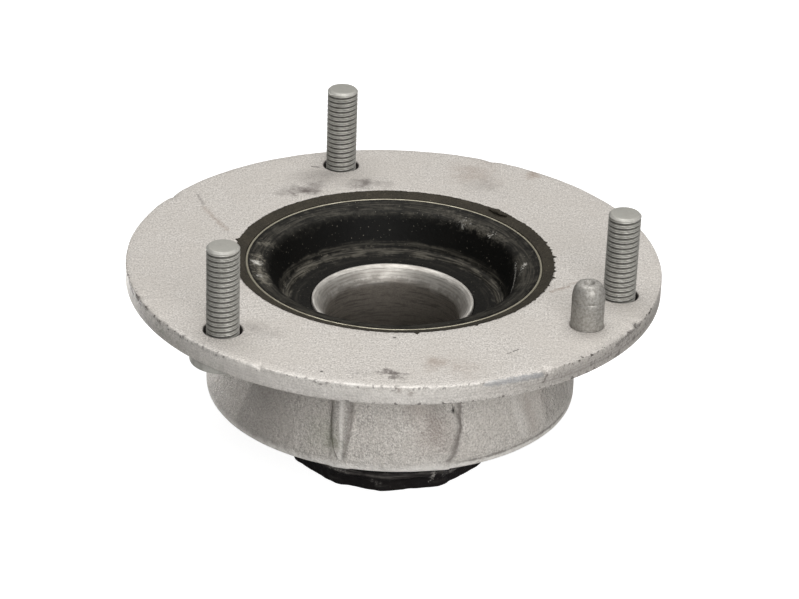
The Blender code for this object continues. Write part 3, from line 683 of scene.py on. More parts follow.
@dataclass(frozen=True)
class CastFinish:
    """Blasted die-cast aluminium with handling marks, stains, a rim with wear, and painted shade and highlights on
    the cup, ribs and rim.
    """

    pale: Tint = tint(224, 219, 213)
    deep: Tint = tint(160, 155, 149)
    clouded: Tint = tint(190, 184, 176)
    # Tone of pits and the roughest patch, and of painted shade on the ribs' flanks and along the foot.
    pits_and_shade: Tint = tint(96, 90, 84)
    # Tone of wear on the foot and the rim's edge, and of painted light on the rim's front and a painted highlight
    # on a rib's crest.
    wear_and_highlight: Tint = tint(236, 232, 226)
    # Tone of the rim's chips and the seal's dark joint, and of painted shade in a rib's crease.
    chips_and_crease_shade: Tint = tint(72, 66, 61)
    # Painted shade on the cup's left panel and the ribs' flanks; also the tone of the rim's streaks and of the
    # painted shade on its right.
    panel: Tint = tint(132, 126, 121)
    grain: float = 0.00044
    relief: float = 0.00026
    metallic: float = 0.35
    # Where the painted shade on the cup's left panel starts, and how its edge leans with the level.
    panel_lean: float = 438.0
    panel_start: float = 221.6
    panel_level: float = 0.0344
    rib_emerges: float = 0.0342
    rib_tip: float = 0.0203
    lump_size: float = 0.0011

    def build(self, rim: Envelope, under: float, foot_radius: float, recess_radius: float,
              ribs: Sequence[float], marks: Sequence[Mark]) -> Material:
        """Build the material.

        Args:
            rim: Envelope of the body, whose radius and top are the rim's.
            under: Level of the flange's underside.
            foot_radius: Radius of the cup's foot.
            recess_radius: Radius of the seal's recess.
            ribs: Azimuth of the left and the right rib in front.
            marks: Marks on the casting.

        Returns:
            The material.
        """
        finish = Finish("cast_aluminium", self.metallic)
        graph = finish.graph
        finish.colour = graph.blend(finish.grain(self.grain, 0.6, "Speckle"), self.deep, self.pale)
        finish.lay(self.clouded, finish.mottle(0.012), 0.40)
        finish.lay(self.clouded, finish.mottle(0.0025), 0.22)
        on_cup = graph.spread(finish.level(), under + 0.0001, under - 0.0004)
        self.cup_tone(finish, on_cup)
        self.rib_tone(finish, ribs, on_cup)
        finish.mark(marks)
        self.rim_tone(finish, rim)
        self.edge_tone(finish, rim, foot_radius, recess_radius)
        relief = graph.times(finish.grain(self.grain, 1.5), graph.spread(on_cup, 0.0, 1.0, 0.5, 1.0))
        rough = graph.times(self.roughest(finish), 1.8)
        relief = graph.math("ADD", relief, graph.times(finish.mottle(self.lump_size), rough))
        return finish.close(0.6, relief, self.relief)

    def roughest(self, finish: Finish) -> Socket:
        """Give the part of the cup where the casting is roughest."""
        return finish.sector(324.0, 346.0, 3.0, 3.0, Low=0.0205, High=0.0325, Level_Fade=0.002)

    def edge_tone(self, finish: Finish, rim: Envelope, foot_radius: float, recess_radius: float) -> None:
        """Lighten the foot with wear, paint shade in a thin line along the foot on the right, and darken the
        seal's joint and the roughest patch.

        Args:
            finish: The material under construction.
            rim: Envelope of the body.
            foot_radius: Radius of the cup's foot.
            recess_radius: Radius of the seal's recess.
        """
        finish.lay(self.wear_and_highlight, finish.ring(foot_radius, rim.bottom, 0.0024, 0.5, 0.003), 0.90)
        # Painted shade in a thin line along the foot, on the right.
        line = finish.ring(foot_radius, rim.bottom + 0.0016, 0.0005, 1.0, 0.0022)
        finish.lay(self.pits_and_shade, line, finish.sector(288.0, 345.0, 8.0, 8.0), 0.6)
        finish.lay(self.chips_and_crease_shade, finish.ring(recess_radius, rim.top, 0.0005, 0.9, 0.0012), 0.7)
        finish.lay(self.pits_and_shade, self.roughest(finish), finish.mottle(self.lump_size), 0.24)

    def cup_tone(self, finish: Finish, on_cup: Socket) -> None:
        """Pit the cup and paint shade on its left panel, up to an edge that leans like a shadow's.

        Args:
            finish: The material under construction.
            on_cup: Mask of the cup.
        """
        share = finish.graph.spread(on_cup, 0.0, 1.0, 0.12, 0.30)
        finish.lay(self.pits_and_shade, finish.pits(0.00070, 0.63), share)
        # Painted shade on the left panel, whose edge leans like a shadow's.
        panel = finish.sector(self.panel_start, 256.0, 2.0, 26.0, Lean=self.panel_lean, Level=self.panel_level)
        finish.lay(self.panel, panel, on_cup, 0.41)

    def rib_tone(self, finish: Finish, ribs: Sequence[float], on_cup: Socket) -> None:
        """Paint shade down the sides of the two ribs in front and in the left one's crease, and a highlight on its
        crest.

        Args:
            finish: The material under construction.
            ribs: Azimuth of the left and the right rib.
            on_cup: Mask of the cup.
        """
        left, right = ribs
        # Painted shade on the ribs' flanks and in the left rib's crease, and a painted highlight on its crest.
        for azimuth, turn, reach, strength, shade in (
            (left, 2.4, 1.6, 0.60, self.panel),
            (left, 3.1, 0.6, 0.35, self.pits_and_shade),
            (left, -3.4, 0.35, 0.70, self.chips_and_crease_shade),
            (left, 0.2, 1.1, 0.75, self.wear_and_highlight),
            (right, 4.0, 2.0, 0.75, self.panel),
            (right, 4.4, 0.8, 0.40, self.pits_and_shade),
        ):
            line = finish.effect(Effect.FLANK, Azimuth=azimuth, Turn=turn, Reach=reach,
                                 Upper=self.rib_emerges, Lower=self.rib_tip)
            finish.lay(shade, line, on_cup, strength)

    def rim_tone(self, finish: Finish, rim: Envelope) -> None:
        """Wear, chip and streak the rim, paint light on the front of its face and top edge, and paint shade on the
        right of its face.

        Args:
            finish: The material under construction.
            rim: Envelope of the body, whose radius and top are the rim's.
        """
        graph = finish.graph
        face = finish.ring(rim.radius, rim.top - 0.0025, 0.0036, 0.1, 0.004)
        # Painted light on the front of the rim's face.
        front = finish.sector(212.0, 300.0, 20.0, 26.0)
        finish.lay(self.wear_and_highlight, face, front, 0.45)
        streaks = graph.spread(finish.turning(0.00035), 0.40, 0.72)
        patches = finish.mottle(0.006)
        finish.lay(self.panel, face, streaks, patches, 0.45)
        # Wear on the rim's top edge, shown only on the lit front, so partly a painted highlight.
        wear = finish.ring(rim.radius - 0.0002, rim.top, 0.0007, 1.2, 0.0012)
        finish.lay(self.wear_and_highlight, wear, front, patches, 0.7)
        # Painted shade on the right of the rim's face, broken by the streaks.
        right = finish.sector(286.0, 352.0, 26.0, 8.0)
        finish.lay(self.panel, face, right, graph.spread(streaks, 0.0, 1.0, 0.3, 0.8))
        flecks = finish.pits(0.0010, 0.56)
        chips = finish.ring(rim.radius, rim.top - 0.0003, 0.0008, 1.6, 0.0018)
        lower = finish.ring(rim.radius, rim.top - 0.0046, 0.0006, 1.5, 0.0024)
        for part, start, end, strength in (
            (chips, 188.0, 224.0, 1.0), (chips, 218.0, 300.0, 0.55), (chips, 305.0, 345.0, 0.95),
            (lower, 258.0, 345.0, 0.7), (face, 303.0, 342.0, 0.42), (face, 192.0, 218.0, 0.25),
        ):
            finish.lay(self.chips_and_crease_shade, part, finish.sector(start, end), graph.times(flecks, strength))


@dataclass(frozen=True)
class SteelFinish:
    """Plain or plated steel with turning marks, fine grain and clouded patches."""

    name: str
    bright: Tint
    dull: Tint
    metallic: float = 0.9
    smooth: float = 0.3
    matt: float = 0.5
    pitch: float = 0.00025
    relief: float = 0.00002
    cloud: float = 0.003
    painted_root_shade: Optional[Tint] = None
    cap: Optional[Tint] = None
    root_depth: float = 0.0007

    def build(self) -> Material:
        """Build the material, with painted shade in the roots where it covers a thread, and return it."""
        finish = Finish(self.name, self.metallic)
        graph = finish.graph
        clouds = finish.mottle(self.cloud)
        rings = finish.turning(self.pitch)
        grain = finish.grain(self.pitch, 0.3)
        finish.colour = self.bright
        finish.lay(self.dull, clouds, 0.6)
        finish.lay(self.dull, graph.spread(grain, 0.3, 0.8, 0.0, 0.35))
        # Painted shade in a thread's roots, as deep as they are sunk.
        if self.painted_root_shade:
            low, high = self.root_depth * 0.15, self.root_depth * 0.95
            finish.lay(self.painted_root_shade, graph.spread(finish.sunk(), low, high, 0.0, 0.85))
        if self.cap:
            finish.lay(self.cap, finish.effect(Effect.FACING_UP, From=0.75, To=0.98), 0.75)
        roughness = graph.spread(clouds, 0.0, 1.0, self.smooth, self.matt)
        return finish.close(roughness, graph.math("ADD", rings, grain), self.relief)


@dataclass(frozen=True)
class CarrierFinish:
    """The carrier's steel: a bright rolled collar over a dull, dark bore."""

    bright: Tint = tint(212, 208, 201)
    dull: Tint = tint(152, 147, 140)
    bore: Tint = tint(142, 135, 126)
    bore_deep_shade: Tint = tint(110, 104, 96)
    line: Tint = tint(84, 79, 73)

    def build(self, collar: float, mouth_depth: float) -> Material:
        """Build the material.

        Args:
            collar: Level of the collar's top.
            mouth_depth: How far below it the bright surface ends.

        Returns:
            The material.
        """
        finish = Finish("carrier_steel", 0.75)
        graph = finish.graph
        level = finish.level()
        mouth = collar - mouth_depth
        clouds = finish.mottle(0.004)
        rings = finish.turning(0.0004, 0.0016)
        grain = finish.grain(0.0004, 0.4)
        finish.colour = self.bright
        finish.lay(self.dull, clouds, 0.5)
        finish.lay(self.dull, graph.spread(rings, 0.38, 0.66, 0.0, 0.6))
        finish.lay(self.dull, graph.spread(level, collar - 0.0004, collar - 0.0016, 0.0, 0.42))
        for radius, depth, reach, strength in (
            (0.0189, 0.0006, 0.0003, 0.35), (0.0184, 0.0014, 0.0003, 0.22),
            (0.0179, 0.0022, 0.0004, 0.30), (0.0173, mouth_depth - 0.0006, 0.0008, 0.50),
        ):
            finish.lay(self.line, finish.ring(radius, collar - depth, reach, 1.3, 0.0025), strength)
        # Painted shade: the bore's dark colour gets darker deeper down.
        dark = graph.blend(graph.spread(level, collar - 0.02, mouth), self.bore_deep_shade, self.bore)
        dark = graph.blend(graph.spread(grain, 0.35, 0.75, 0.0, 0.4), dark, self.line)
        dark = graph.blend(graph.spread(rings, 0.45, 0.70, 0.0, 0.6), dark, self.line)
        ragged = graph.times(graph.math("SUBTRACT", clouds, 0.5), 0.0012)
        inside = graph.spread(graph.math("ADD", level, ragged), mouth + 0.0009, mouth - 0.0014)
        finish.lay(dark, inside)
        roughness = graph.math("ADD", graph.spread(inside, 0.0, 1.0, 0.5, 0.7), graph.times(clouds, 0.1))
        return finish.close(roughness, graph.math("ADD", rings, grain), 0.00003)


@dataclass(frozen=True)
class RubberFinish:
    """Moulded rubber with a fine grain, settled dust and ringed or spotted smears."""

    name: str
    base: Tint
    faded: Tint
    dust: Tint
    roughness: float = 0.5
    grain: float = 0.0006
    relief: float = 0.00008
    settled: float = 0.25
    specked: float = 0.5
    specular: float = 0.2

    def build(self, marks: Sequence[Mark] = (), bands: Sequence[tuple[float, ...]] = ()) -> Material:
        """Build the material.

        Args:
            marks: Dust and smear marks, and on the stop painted highlights mixed with scratches.
            bands: Radius, level, reach and strength of each dusty ring.

        Returns:
            The material.
        """
        finish = Finish(self.name, 0.0, self.specular)
        graph = finish.graph
        grain = finish.grain(self.grain, 0.9)
        speckle = finish.grain(self.grain * 0.7, 0.5, "Speckle")
        finish.colour = self.base
        finish.lay(self.faded, finish.mottle(0.006), 0.6)
        settled = graph.times(finish.effect(Effect.FACING_UP, From=0.2, To=0.95), speckle, self.settled)
        streaks = finish.turning(0.00042, 0.0022)
        for radius, level, reach, strength in bands:
            band = finish.ring(radius, level, reach, 0.8, 0.003)
            cover = graph.times(graph.spread(streaks, 0.36, 0.66, 0.15, 1.0), strength)
            settled = graph.math("MAXIMUM", settled, graph.times(band, cover))
        finish.lay(self.dust, settled)
        finish.mark(marks, graph.spread(speckle, 0.0, 1.0, 0.45, 1.0))
        finish.lay(self.dust, finish.pits(0.00055, 0.71), self.specked)
        roughness = graph.math("ADD", graph.times(settled, 0.4), self.roughness, clamp=True)
        return finish.close(roughness, grain, self.relief)


@dataclass
class SubAssembly:
    """A group of pieces that are built, dressed and set on their body together."""

    def build(self) -> list[Object]:
        """Build and dress the pieces, and return them."""
        raise NotImplementedError

    def seat(self, piece: Object, material: Material, slot: Slot, nodes: Sequence[str],
             body: Body = Body.MOUNT) -> Object:
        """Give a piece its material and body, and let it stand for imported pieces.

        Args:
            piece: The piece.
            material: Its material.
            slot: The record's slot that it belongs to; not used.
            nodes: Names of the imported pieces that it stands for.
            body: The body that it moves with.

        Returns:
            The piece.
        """
        piece.data.materials.clear()
        piece.data.materials.append(material)
        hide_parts(*nodes)
        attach(piece, body.value)
        return piece


@dataclass
class CastBody(SubAssembly):
    """The casting: a flange with a worn rim over a flaring cup with half-round ribs."""

    flange_thickness: float = 0.00484
    recess_radius: float = 0.0400
    recess_depth: float = 0.0024
    bore_radius: float = 0.0375
    ledge_thickness: float = 0.0023
    mouth_radius: float = 0.0345
    neck_radius: float = 0.0414
    foot_radius: float = 0.0469
    foot_band: float = 0.0026
    rib_width: float = 0.0053
    rib_setback: float = 0.00003
    rib_fullness: Sequence[float] = (2.2, 5.0)
    soft_fullness: float = 2.6
    rib_root: float = 0.0004
    rib_emerges: float = 0.0342
    rib_tip: float = 0.0203
    rib_from_stud: float = 29.8
    rib_pitch: float = 32.4
    ribs_per_gap: int = 2
    soft_rib: int = 1
    soft_width: float = 0.0062
    bulge_reach: float = 0.0045
    bulge: float = 0.0030
    bulge_level: float = 0.0284
    waist: float = 0.0020
    stud_hole_radius: float = 0.0047
    pin_hole_radius: float = 0.00405
    hole_lip: float = 0.00025
    columns: int = 600
    wear_reach: float = 0.0007
    wear_depth: float = 0.00005
    unevenness: float = 0.00007
    rim_nicks: Sequence[tuple[float, float, float]] = (
        (202.8, 1.2, 0.00035), (208.0, 2.0, 0.00025), (215.1, 1.5, 0.0004), (238.5, 3.0, 0.0003),
        (243.0, 2.2, 0.0004), (252.0, 1.4, 0.0002), (297.5, 4.5, 0.0004), (303.2, 1.0, 0.0005),
        (325.0, 2.2, 0.0004), (329.0, 1.2, 0.0006), (333.0, 1.0, 0.0004), (68.0, 1.6, 0.0003),
        (151.0, 2.0, 0.0003),
    )
    envelope: Envelope = field(default_factory=lambda: Envelope.of("mount_body"))

    def outline(self) -> Numbers:
        """Give the section of the casting, from the recess outwards and back."""
        top = self.envelope.top
        under = top - self.flange_thickness
        foot = self.envelope.bottom
        ledge = foot + self.ledge_thickness
        recess = top - self.recess_depth
        return section([
            (self.recess_radius, top, 0.0002, 16),
            (self.envelope.radius, top, 0.00035, 9),
            (self.envelope.radius, under, 0.0004, 12),
            (self.neck_radius, under, 0.0030, 36),
            (self.foot_radius, foot + self.foot_band, 0.0012, 3),
            (self.foot_radius, foot, 0.0005, 7),
            (self.mouth_radius, foot, 0.0004, 2),
            (self.mouth_radius, ledge, 0.0002, 2),
            (self.bore_radius, ledge, 0.0, 6),
            (self.bore_radius, recess, 0.0, 1),
            (self.recess_radius, recess, 0.0, 2),
        ])

    def rib_azimuths(self) -> list[float]:
        """List the azimuths of the ribs, which stand between the studs."""
        azimuths = []
        for stud in STUDS:
            centre = Envelope.of(stud).centre
            start = math.degrees(math.atan2(centre.y, centre.x)) + self.rib_from_stud
            azimuths += [(start + self.rib_pitch * step) % 360 for step in range(self.ribs_per_gap)]
        return azimuths

    def form(self, turns: Numbers, radii: Numbers, levels: Numbers) -> Formed:
        """Raise the ribs out of the cup, nick the rim and make the casting slightly uneven.

        Args:
            turns: Azimuth of each point.
            radii: Radius of each point.
            levels: Level of each point.

        Returns:
            The new radii and levels.
        """
        wall = (radii > self.bore_radius + 0.002) & (levels < self.envelope.top - self.flange_thickness - 0.0001)
        half = self.rib_width / 2
        centre = self.foot_radius - self.rib_setback - half
        formed = radii.copy()
        for index, azimuth in enumerate(self.rib_azimuths()):
            offset = near(turns, azimuth)
            here = wall & (np.abs(offset) < 30)
            aside = np.sin(np.radians(offset)) * centre
            soft = index == self.soft_rib
            belly = self.bulge * bell(levels - self.bulge_level, self.bulge_reach)
            girth = half + soft * (belly - self.waist)
            ends = (-self.rib_emerges, -self.rib_tip)
            full = self.soft_fullness if soft else np.interp(-levels, ends, self.rib_fullness)
            swell = np.clip(1 - np.abs(aside / girth) ** full, 0, None) ** (1 / full)
            rib = centre * (swell > 0) + half * swell
            joined = (formed + rib + np.sqrt((formed - rib) ** 2 + self.rib_root ** 2)) / 2
            sharp = np.where(here & (swell > 0) & (joined > formed), joined, formed)
            ease = 0.5 + 0.5 * np.cos(np.clip(aside / self.soft_width, -1, 0) * math.pi)
            slope = formed + ease * np.clip(centre + half - formed, 0, None)
            formed = np.where(here & soft & (offset < 0), slope, sharp)
        uneven = Ripple(11, (3, 7, 12, 19, 31)).along(turns + 900 * levels)
        formed = np.where(wall, formed + self.unevenness * uneven, formed)
        return self.nicked(turns, formed, levels)

    def nicked(self, turns: Numbers, radii: Numbers, levels: Numbers) -> Formed:
        """Wear and nick the upper edge of the rim.

        Args:
            turns: Azimuth of each point.
            radii: Radius of each point.
            levels: Level of each point.

        Returns:
            The new radii and levels.
        """
        distance = np.hypot(radii - self.envelope.radius, levels - self.envelope.top)
        share = bell(distance, self.wear_reach)
        depth = self.wear_depth * (1 + Ripple(5, (23, 41, 67, 97, 131)).along(turns))
        for azimuth, width, deep in self.rim_nicks:
            ragged = 1 + 0.5 * Ripple(int(azimuth), (90, 140, 180)).along(turns)
            depth = depth + deep * bell(near(turns, azimuth), width) * ragged
        return radii - share * depth, levels - share * depth * 0.7

    def hole(self, centre: Vector, radius: float) -> Object:
        """Make the tool for one hole with a slightly broken edge.

        Args:
            centre: A point on the hole's axis.
            radius: Radius of the hole.

        Returns:
            The tool.
        """
        top = self.envelope.top
        outline = np.array([
            (0.0002, top - 2 * self.flange_thickness),
            (radius, top - 2 * self.flange_thickness),
            (radius, top - self.hole_lip),
            (radius + self.hole_lip, top + 0.00001),
            (radius + self.hole_lip, top + self.flange_thickness),
            (0.0002, top + self.flange_thickness),
        ])
        return turned("hole_tool", outline, 56, centre, closed=False)

    def marks(self) -> list[Mark]:
        """List the marks on the casting: flange, rim and cup, among them painted light and painted shade."""
        top = self.envelope.top
        rim, foot = self.envelope.radius / MILLI, self.foot_radius / MILLI
        soot = tint(92, 84, 80)
        brown = tint(128, 104, 86)
        rust = tint(92, 72, 60)
        black = tint(38, 35, 33)
        grey = tint(104, 99, 94)
        blue = tint(120, 126, 134)
        red = tint(142, 124, 115)
        green = tint(118, 121, 98)
        bright = tint(226, 222, 216)
        rows = (
            (green, 8.0, 0.36, 0.5, -0.2, foot, 250.5, 27.0),
            (green, 3.6, 0.45, 0.6, 0.2, 45.5, 253.6, 28.0),
            (green, 1.2, 0.35, 0.4, 0.2, 44.5, 253.6, 6.0, 45.5, 253.6, 26.0),
            (red, 7.5, 0.42, 0.4, -0.2, foot, 280.5, 18.0),
            (red, 8.0, 0.5, 0.4, -0.2, foot, 284.5, 25.0),
            (red, 8.0, 0.42, 0.5, -0.2, foot, 325.0, 23.0),
            # Painted light: a pool on the cup's far right, one on its lit left side and a band along the front of
            # the foot.
            (bright, 11.0, 0.4, 0.4, -0.3, 45.5, 329.0, 20.0),
            (bright, 8.0, 0.35, 0.4, -0.3, 45.0, 212.0, 17.0),
            (bright, 3.0, 0.38, 0.4, -0.3, foot, 262.0, 33.0, foot, 286.0, 33.0),
            (green, 6.0, 0.3, 0.8, -0.2, foot, 206.0, 23.0),
            (grey, 9.0, 0.35, 0.4, -0.3, foot, 226.0, 20.0),
            # A painted highlight and, right of it, reddish painted shade, as on a faint ridge that the casting
            # does not have.
            (bright, 2.4, 0.55, 0.3, -0.8, 42.6, 309.8, 10.0, 46.6, 315.3, 30.5),
            (red, 3.0, 0.35, 0.3, -0.8, 42.6, 314.0, 10.0, 46.6, 320.2, 30.5),
            (soot, 0.8, 0.85, 1.4, 0.2, rim, 197.0, 0.8, rim, 199.5, 1.2),
            (soot, 0.7, 0.9, 1.4, 0.2, rim, 201.5, 0.5, rim, 205.0, 1.0),
            (soot, 0.9, 0.8, 1.4, 0.2, rim, 207.5, 0.8),
            (soot, 0.9, 0.6, 1.4, 0.2, rim, 214.0, 0.9),
            (bright, 0.35, 0.7, 0.6, 0.2, foot, 254.8, 33.8, foot, 263.8, 34.0),
            (black, 1.3, 1.0, 0.3, 0.2, 46.4, 289.6, 18.4),
            (soot, 5.2, 0.9, 0.9, -0.2, 45.3, 121.9, 0.0),
            (soot, 5.0, 0.45, 1.0, -0.3, 46.0, 117.0, 0.0),
            (soot, 5.0, 0.4, 1.0, -0.3, 47.5, 128.0, 0.0),
            (soot, 5.0, 0.75, 1.0, -0.3, 45.0, 101.3, 0.0),
            (soot, 3.5, 0.4, 1.0, -0.3, 44.8, 94.0, 0.0),
            (soot, 11.0, 0.32, 0.7, -0.4, 52.0, 112.0, 0.0),
            (brown, 11.0, 0.34, 0.8, -0.4, 57.1, 69.9, 0.0),
            (soot, 8.0, 0.28, 0.8, -0.4, 50.0, 62.0, 0.0),
            (brown, 3.2, 0.6, 0.8, -0.1, 64.3, 55.7, 0.0),
            (soot, 0.6, 0.5, 1.4, -0.2, 61.8, 147.1, 0.0, 57.0, 151.0, 0.0),
            (brown, 1.2, 0.4, 1.3, -0.3, 56.0, 152.5, 0.0, 44.9, 163.0, 0.0),
            (black, 0.4, 0.8, 0.5, 0.2, 58.5, 113.0, 0.0, 57.5, 111.4, 0.0),
            (brown, 5.5, 0.45, 0.8, -0.4, 56.0, 281.7, 0.0),
            (brown, 6.0, 0.24, 0.8, -0.4, 60.0, 287.0, 0.0),
            (soot, 3.0, 0.75, 1.3, -0.1, 60.6, 270.3, 0.0),
            (soot, 1.0, 0.55, 1.3, -0.3, 60.3, 267.2, 0.0, 60.7, 273.2, 0.0),
            (soot, 1.0, 0.5, 1.4, -0.3, 59.6, 270.0, 0.0, 63.0, 273.0, 0.0),
            (soot, 3.4, 0.25, 1.0, -0.3, 61.2, 264.0, 0.0),
            (black, 0.2, 0.8, 1.0, 0.2, 56.0, 299.2, 0.0, 55.7, 300.6, 0.0),
            (black, 0.28, 0.9, 0.8, 0.2, 55.6, 301.2, 0.0, 55.4, 302.8, 0.0),
            (black, 0.6, 0.8, 0.4, 0.2, 42.7, 271.0, 0.0),
            (black, 0.6, 0.8, 0.4, 0.2, 62.8, 255.4, 0.0),
            (brown, 0.9, 0.5, 1.3, -0.2, 41.9, 338.0, 0.0, 45.0, 344.0, 0.0),
            (brown, 0.7, 0.4, 1.3, -0.2, 45.2, 346.0, 0.0, 49.0, 350.0, 0.0),
            (soot, 5.5, 0.35, 0.7, -0.4, 52.2, 231.1, 0.0),
            (soot, 4.5, 0.28, 0.7, -0.4, 51.0, 236.5, 0.0),
            (soot, 4.5, 0.2, 0.6, -0.4, 54.5, 215.5, 0.0),
            (rust, 0.9, 0.8, 1.3, 0.2, rim, 271.9, 1.1),
            (rust, 1.0, 0.85, 1.3, 0.2, rim, 274.2, 1.7),
            (blue, 1.1, 0.55, 0.5, 0.2, rim, 289.5, 0.6, rim, 301.7, 0.9),
            (green, 1.7, 0.34, 1.5, -0.3, rim, 214.0, 3.2, rim, 234.0, 3.4),
            (grey, 1.5, 0.22, 1.6, -0.4, rim, 238.0, 3.0, rim, 262.0, 3.4),
            (soot, 0.5, 0.7, 0.9, 0.2, rim, 303.4, 0.4, rim, 302.2, 3.0),
            (soot, 1.2, 0.25, 1.0, -0.3, rim, 305.0, 3.0, rim, 320.0, 3.2),
            (black, 0.6, 0.6, 1.4, 0.2, rim, 323.0, 1.2, rim, 334.0, 0.6),
            (black, 0.6, 0.8, 0.8, 0.2, rim, 324.1, 3.7),
            (soot, 0.8, 0.7, 0.8, 0.2, rim, 330.7, 2.6),
            (black, 0.8, 0.9, 0.8, 0.2, rim - 0.6, 331.5, 0.0),
        )
        marks = [Mark.listed(top, *row) for row in rows]
        # Painted shade down in each stud hole, in the gap round the stud.
        for name in STUDS:
            centre = Envelope.of(name).centre
            deep = Vector((centre.x, centre.y, top - 0.0018))
            marks.append(Mark(deep, deep, self.stud_hole_radius + 0.00055, 0.85, black, 0.05, 0.93))
        return marks

    def build(self) -> list[Object]:
        """Build and dress the casting, and return it."""
        body = turned("cast_body", self.outline(), self.columns, shape=self.form)
        tools = [self.hole(Envelope.of(name).centre, self.stud_hole_radius) for name in STUDS]
        tools.append(self.hole(Envelope.of("locating_pin").centre, self.pin_hole_radius))
        combine(body, tools)
        under = self.envelope.top - self.flange_thickness
        material = CastFinish().build(
            self.envelope, under, self.foot_radius, self.recess_radius, self.rib_azimuths()[:2], self.marks())
        return [self.seat(body, material, Slot.CAST, ["mount_body"])]


@dataclass
class StudSet(SubAssembly):
    """Three headed studs with a rolled thread."""

    names: Sequence[str] = STUDS
    shank_radius: float = 0.0040
    pitch: float = 0.00131
    thread_depth: float = 0.00064
    crest_share: float = 0.44
    seam_depth: float = 0.00034
    seam_share: float = 0.32
    shoulder_radius: float = 0.0045
    shoulder_depth: float = 0.0034
    head_thickness: float = 0.0029
    tip_chamfer: float = 0.00060
    tip_radius: float = 0.0035
    flange_top: float = field(default_factory=lambda: Envelope.of("mount_body").top)
    columns: int = 44
    rows_per_turn: int = 14

    def thread(self, turns: Numbers, radii: Numbers, levels: Numbers) -> Formed:
        """Cut the thread into the plain shank, fading out at both ends.

        Args:
            turns: Azimuth of each point.
            radii: Radius of each point.
            levels: Level of each point.

        Returns:
            The new radii and levels.
        """
        phase = (levels / self.pitch - turns / 360) % 1.0
        aside = np.abs(phase - 0.5) * 2
        flank = np.clip((aside - self.crest_share) / (0.95 - self.crest_share), 0, 1)
        seam = self.seam_depth * np.clip(1 - aside / self.seam_share, 0, 1)
        start = self.flange_top - self.shoulder_depth + self.pitch * 0.4
        end = levels.max() - self.tip_chamfer
        fade = np.clip((levels - start) / self.pitch, 0, 1) * np.clip((end - levels) / (self.pitch * 0.5), 0, 1)
        shank = np.abs(radii - self.shank_radius) < SAME
        return np.where(shank, radii - (self.thread_depth * flank + seam) * fade, radii), levels

    def outline(self, envelope: Envelope) -> Numbers:
        """Give the section of a stud, from the middle of its tip down to its head.

        Args:
            envelope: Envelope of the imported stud.

        Returns:
            Points of the open section.
        """
        top = envelope.top
        shank_end = self.flange_top - self.shoulder_depth
        under_flange = envelope.bottom + self.head_thickness
        turns = round((top - shank_end) / self.pitch)
        return section([
            (0.0003, top, 0.0, 3),
            (self.tip_radius, top - 0.00005, 0.0003, 2),
            (self.shank_radius, top - self.tip_chamfer, 0.0, turns * self.rows_per_turn),
            (self.shank_radius, shank_end, 0.0, 1),
            (self.shoulder_radius, shank_end - 0.0002, 0.0002, 2),
            (self.shoulder_radius, under_flange, 0.0, 3),
            (envelope.radius, under_flange, 0.0005, 2),
            (envelope.radius, envelope.bottom, 0.0006, 4),
            (0.0003, envelope.bottom, 0.0, 1),
        ], closed=False)

    def build(self) -> list[Object]:
        """Build and dress the studs, and return them."""
        finish = SteelFinish(
            "zinc_plated_steel", tint(204, 202, 195), tint(154, 152, 145),
            metallic=0.5, smooth=0.48, matt=0.62, pitch=0.0003, cloud=0.002,
            painted_root_shade=tint(62, 60, 56), root_depth=self.thread_depth * 0.80, cap=tint(154, 152, 145),
        )
        material = finish.build()
        pieces = []
        for name in self.names:
            envelope = Envelope.of(name)
            stud = turned(name + "_threaded", self.outline(envelope), self.columns, envelope.centre,
                          self.thread, closed=False)
            pieces.append(self.seat(stud, material, Slot.ZINC, [name]))
        return pieces


@dataclass
class LocatingPin(SubAssembly):
    """The turned pin with its rounded nose and centre hole."""

    nose_length: float = 0.0040
    top_radius: float = 0.0021
    hole_radius: float = 0.0012
    hole_depth: float = 0.0016
    line_depth: float = 0.00012
    nose_steps: int = 12
    columns: int = 72

    def outline(self, pin: Envelope) -> Numbers:
        """Give the section of the pin, from the bottom of its centre hole to its foot.

        Args:
            pin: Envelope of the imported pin.

        Returns:
            Points of the open section.
        """
        points = [
            (0.0002, pin.top - self.hole_depth),
            (self.hole_radius * 0.55, pin.top - self.hole_depth * 0.8),
            (self.hole_radius, pin.top - 0.0002),
            (self.hole_radius + 0.0002, pin.top),
        ]
        shoulder = pin.top - self.nose_length
        for step in range(self.nose_steps + 1):
            share = step / self.nose_steps
            bulge = math.sqrt(1 - (1 - share) ** 2)
            radius = self.top_radius + (pin.radius - self.top_radius) * bulge
            points.append((radius, pin.top - self.nose_length * share))
        body = section([
            (pin.radius, shoulder - 0.0001, 0.0, 1),
            (pin.radius - self.line_depth, shoulder - 0.0003, 0.0, 1),
            (pin.radius, shoulder - 0.0005, 0.0, 12),
            (pin.radius, pin.bottom, 0.0004, 3),
            (0.0002, pin.bottom, 0.0, 1),
        ], closed=False)
        return np.array(points + [tuple(point) for point in body])

    def build(self) -> list[Object]:
        """Build and dress the pin, and return it."""
        pin = Envelope.of("locating_pin")
        piece = turned("locating_pin_turned", self.outline(pin), self.columns, pin.centre, closed=False)
        finish = SteelFinish(
            "dull_pin_steel", tint(173, 170, 164), tint(120, 116, 110),
            metallic=0.5, smooth=0.52, matt=0.64, pitch=0.0007, relief=0.00004, cloud=0.0007,
        )
        return [self.seat(piece, finish.build(), Slot.PIN, ["locating_pin"])]


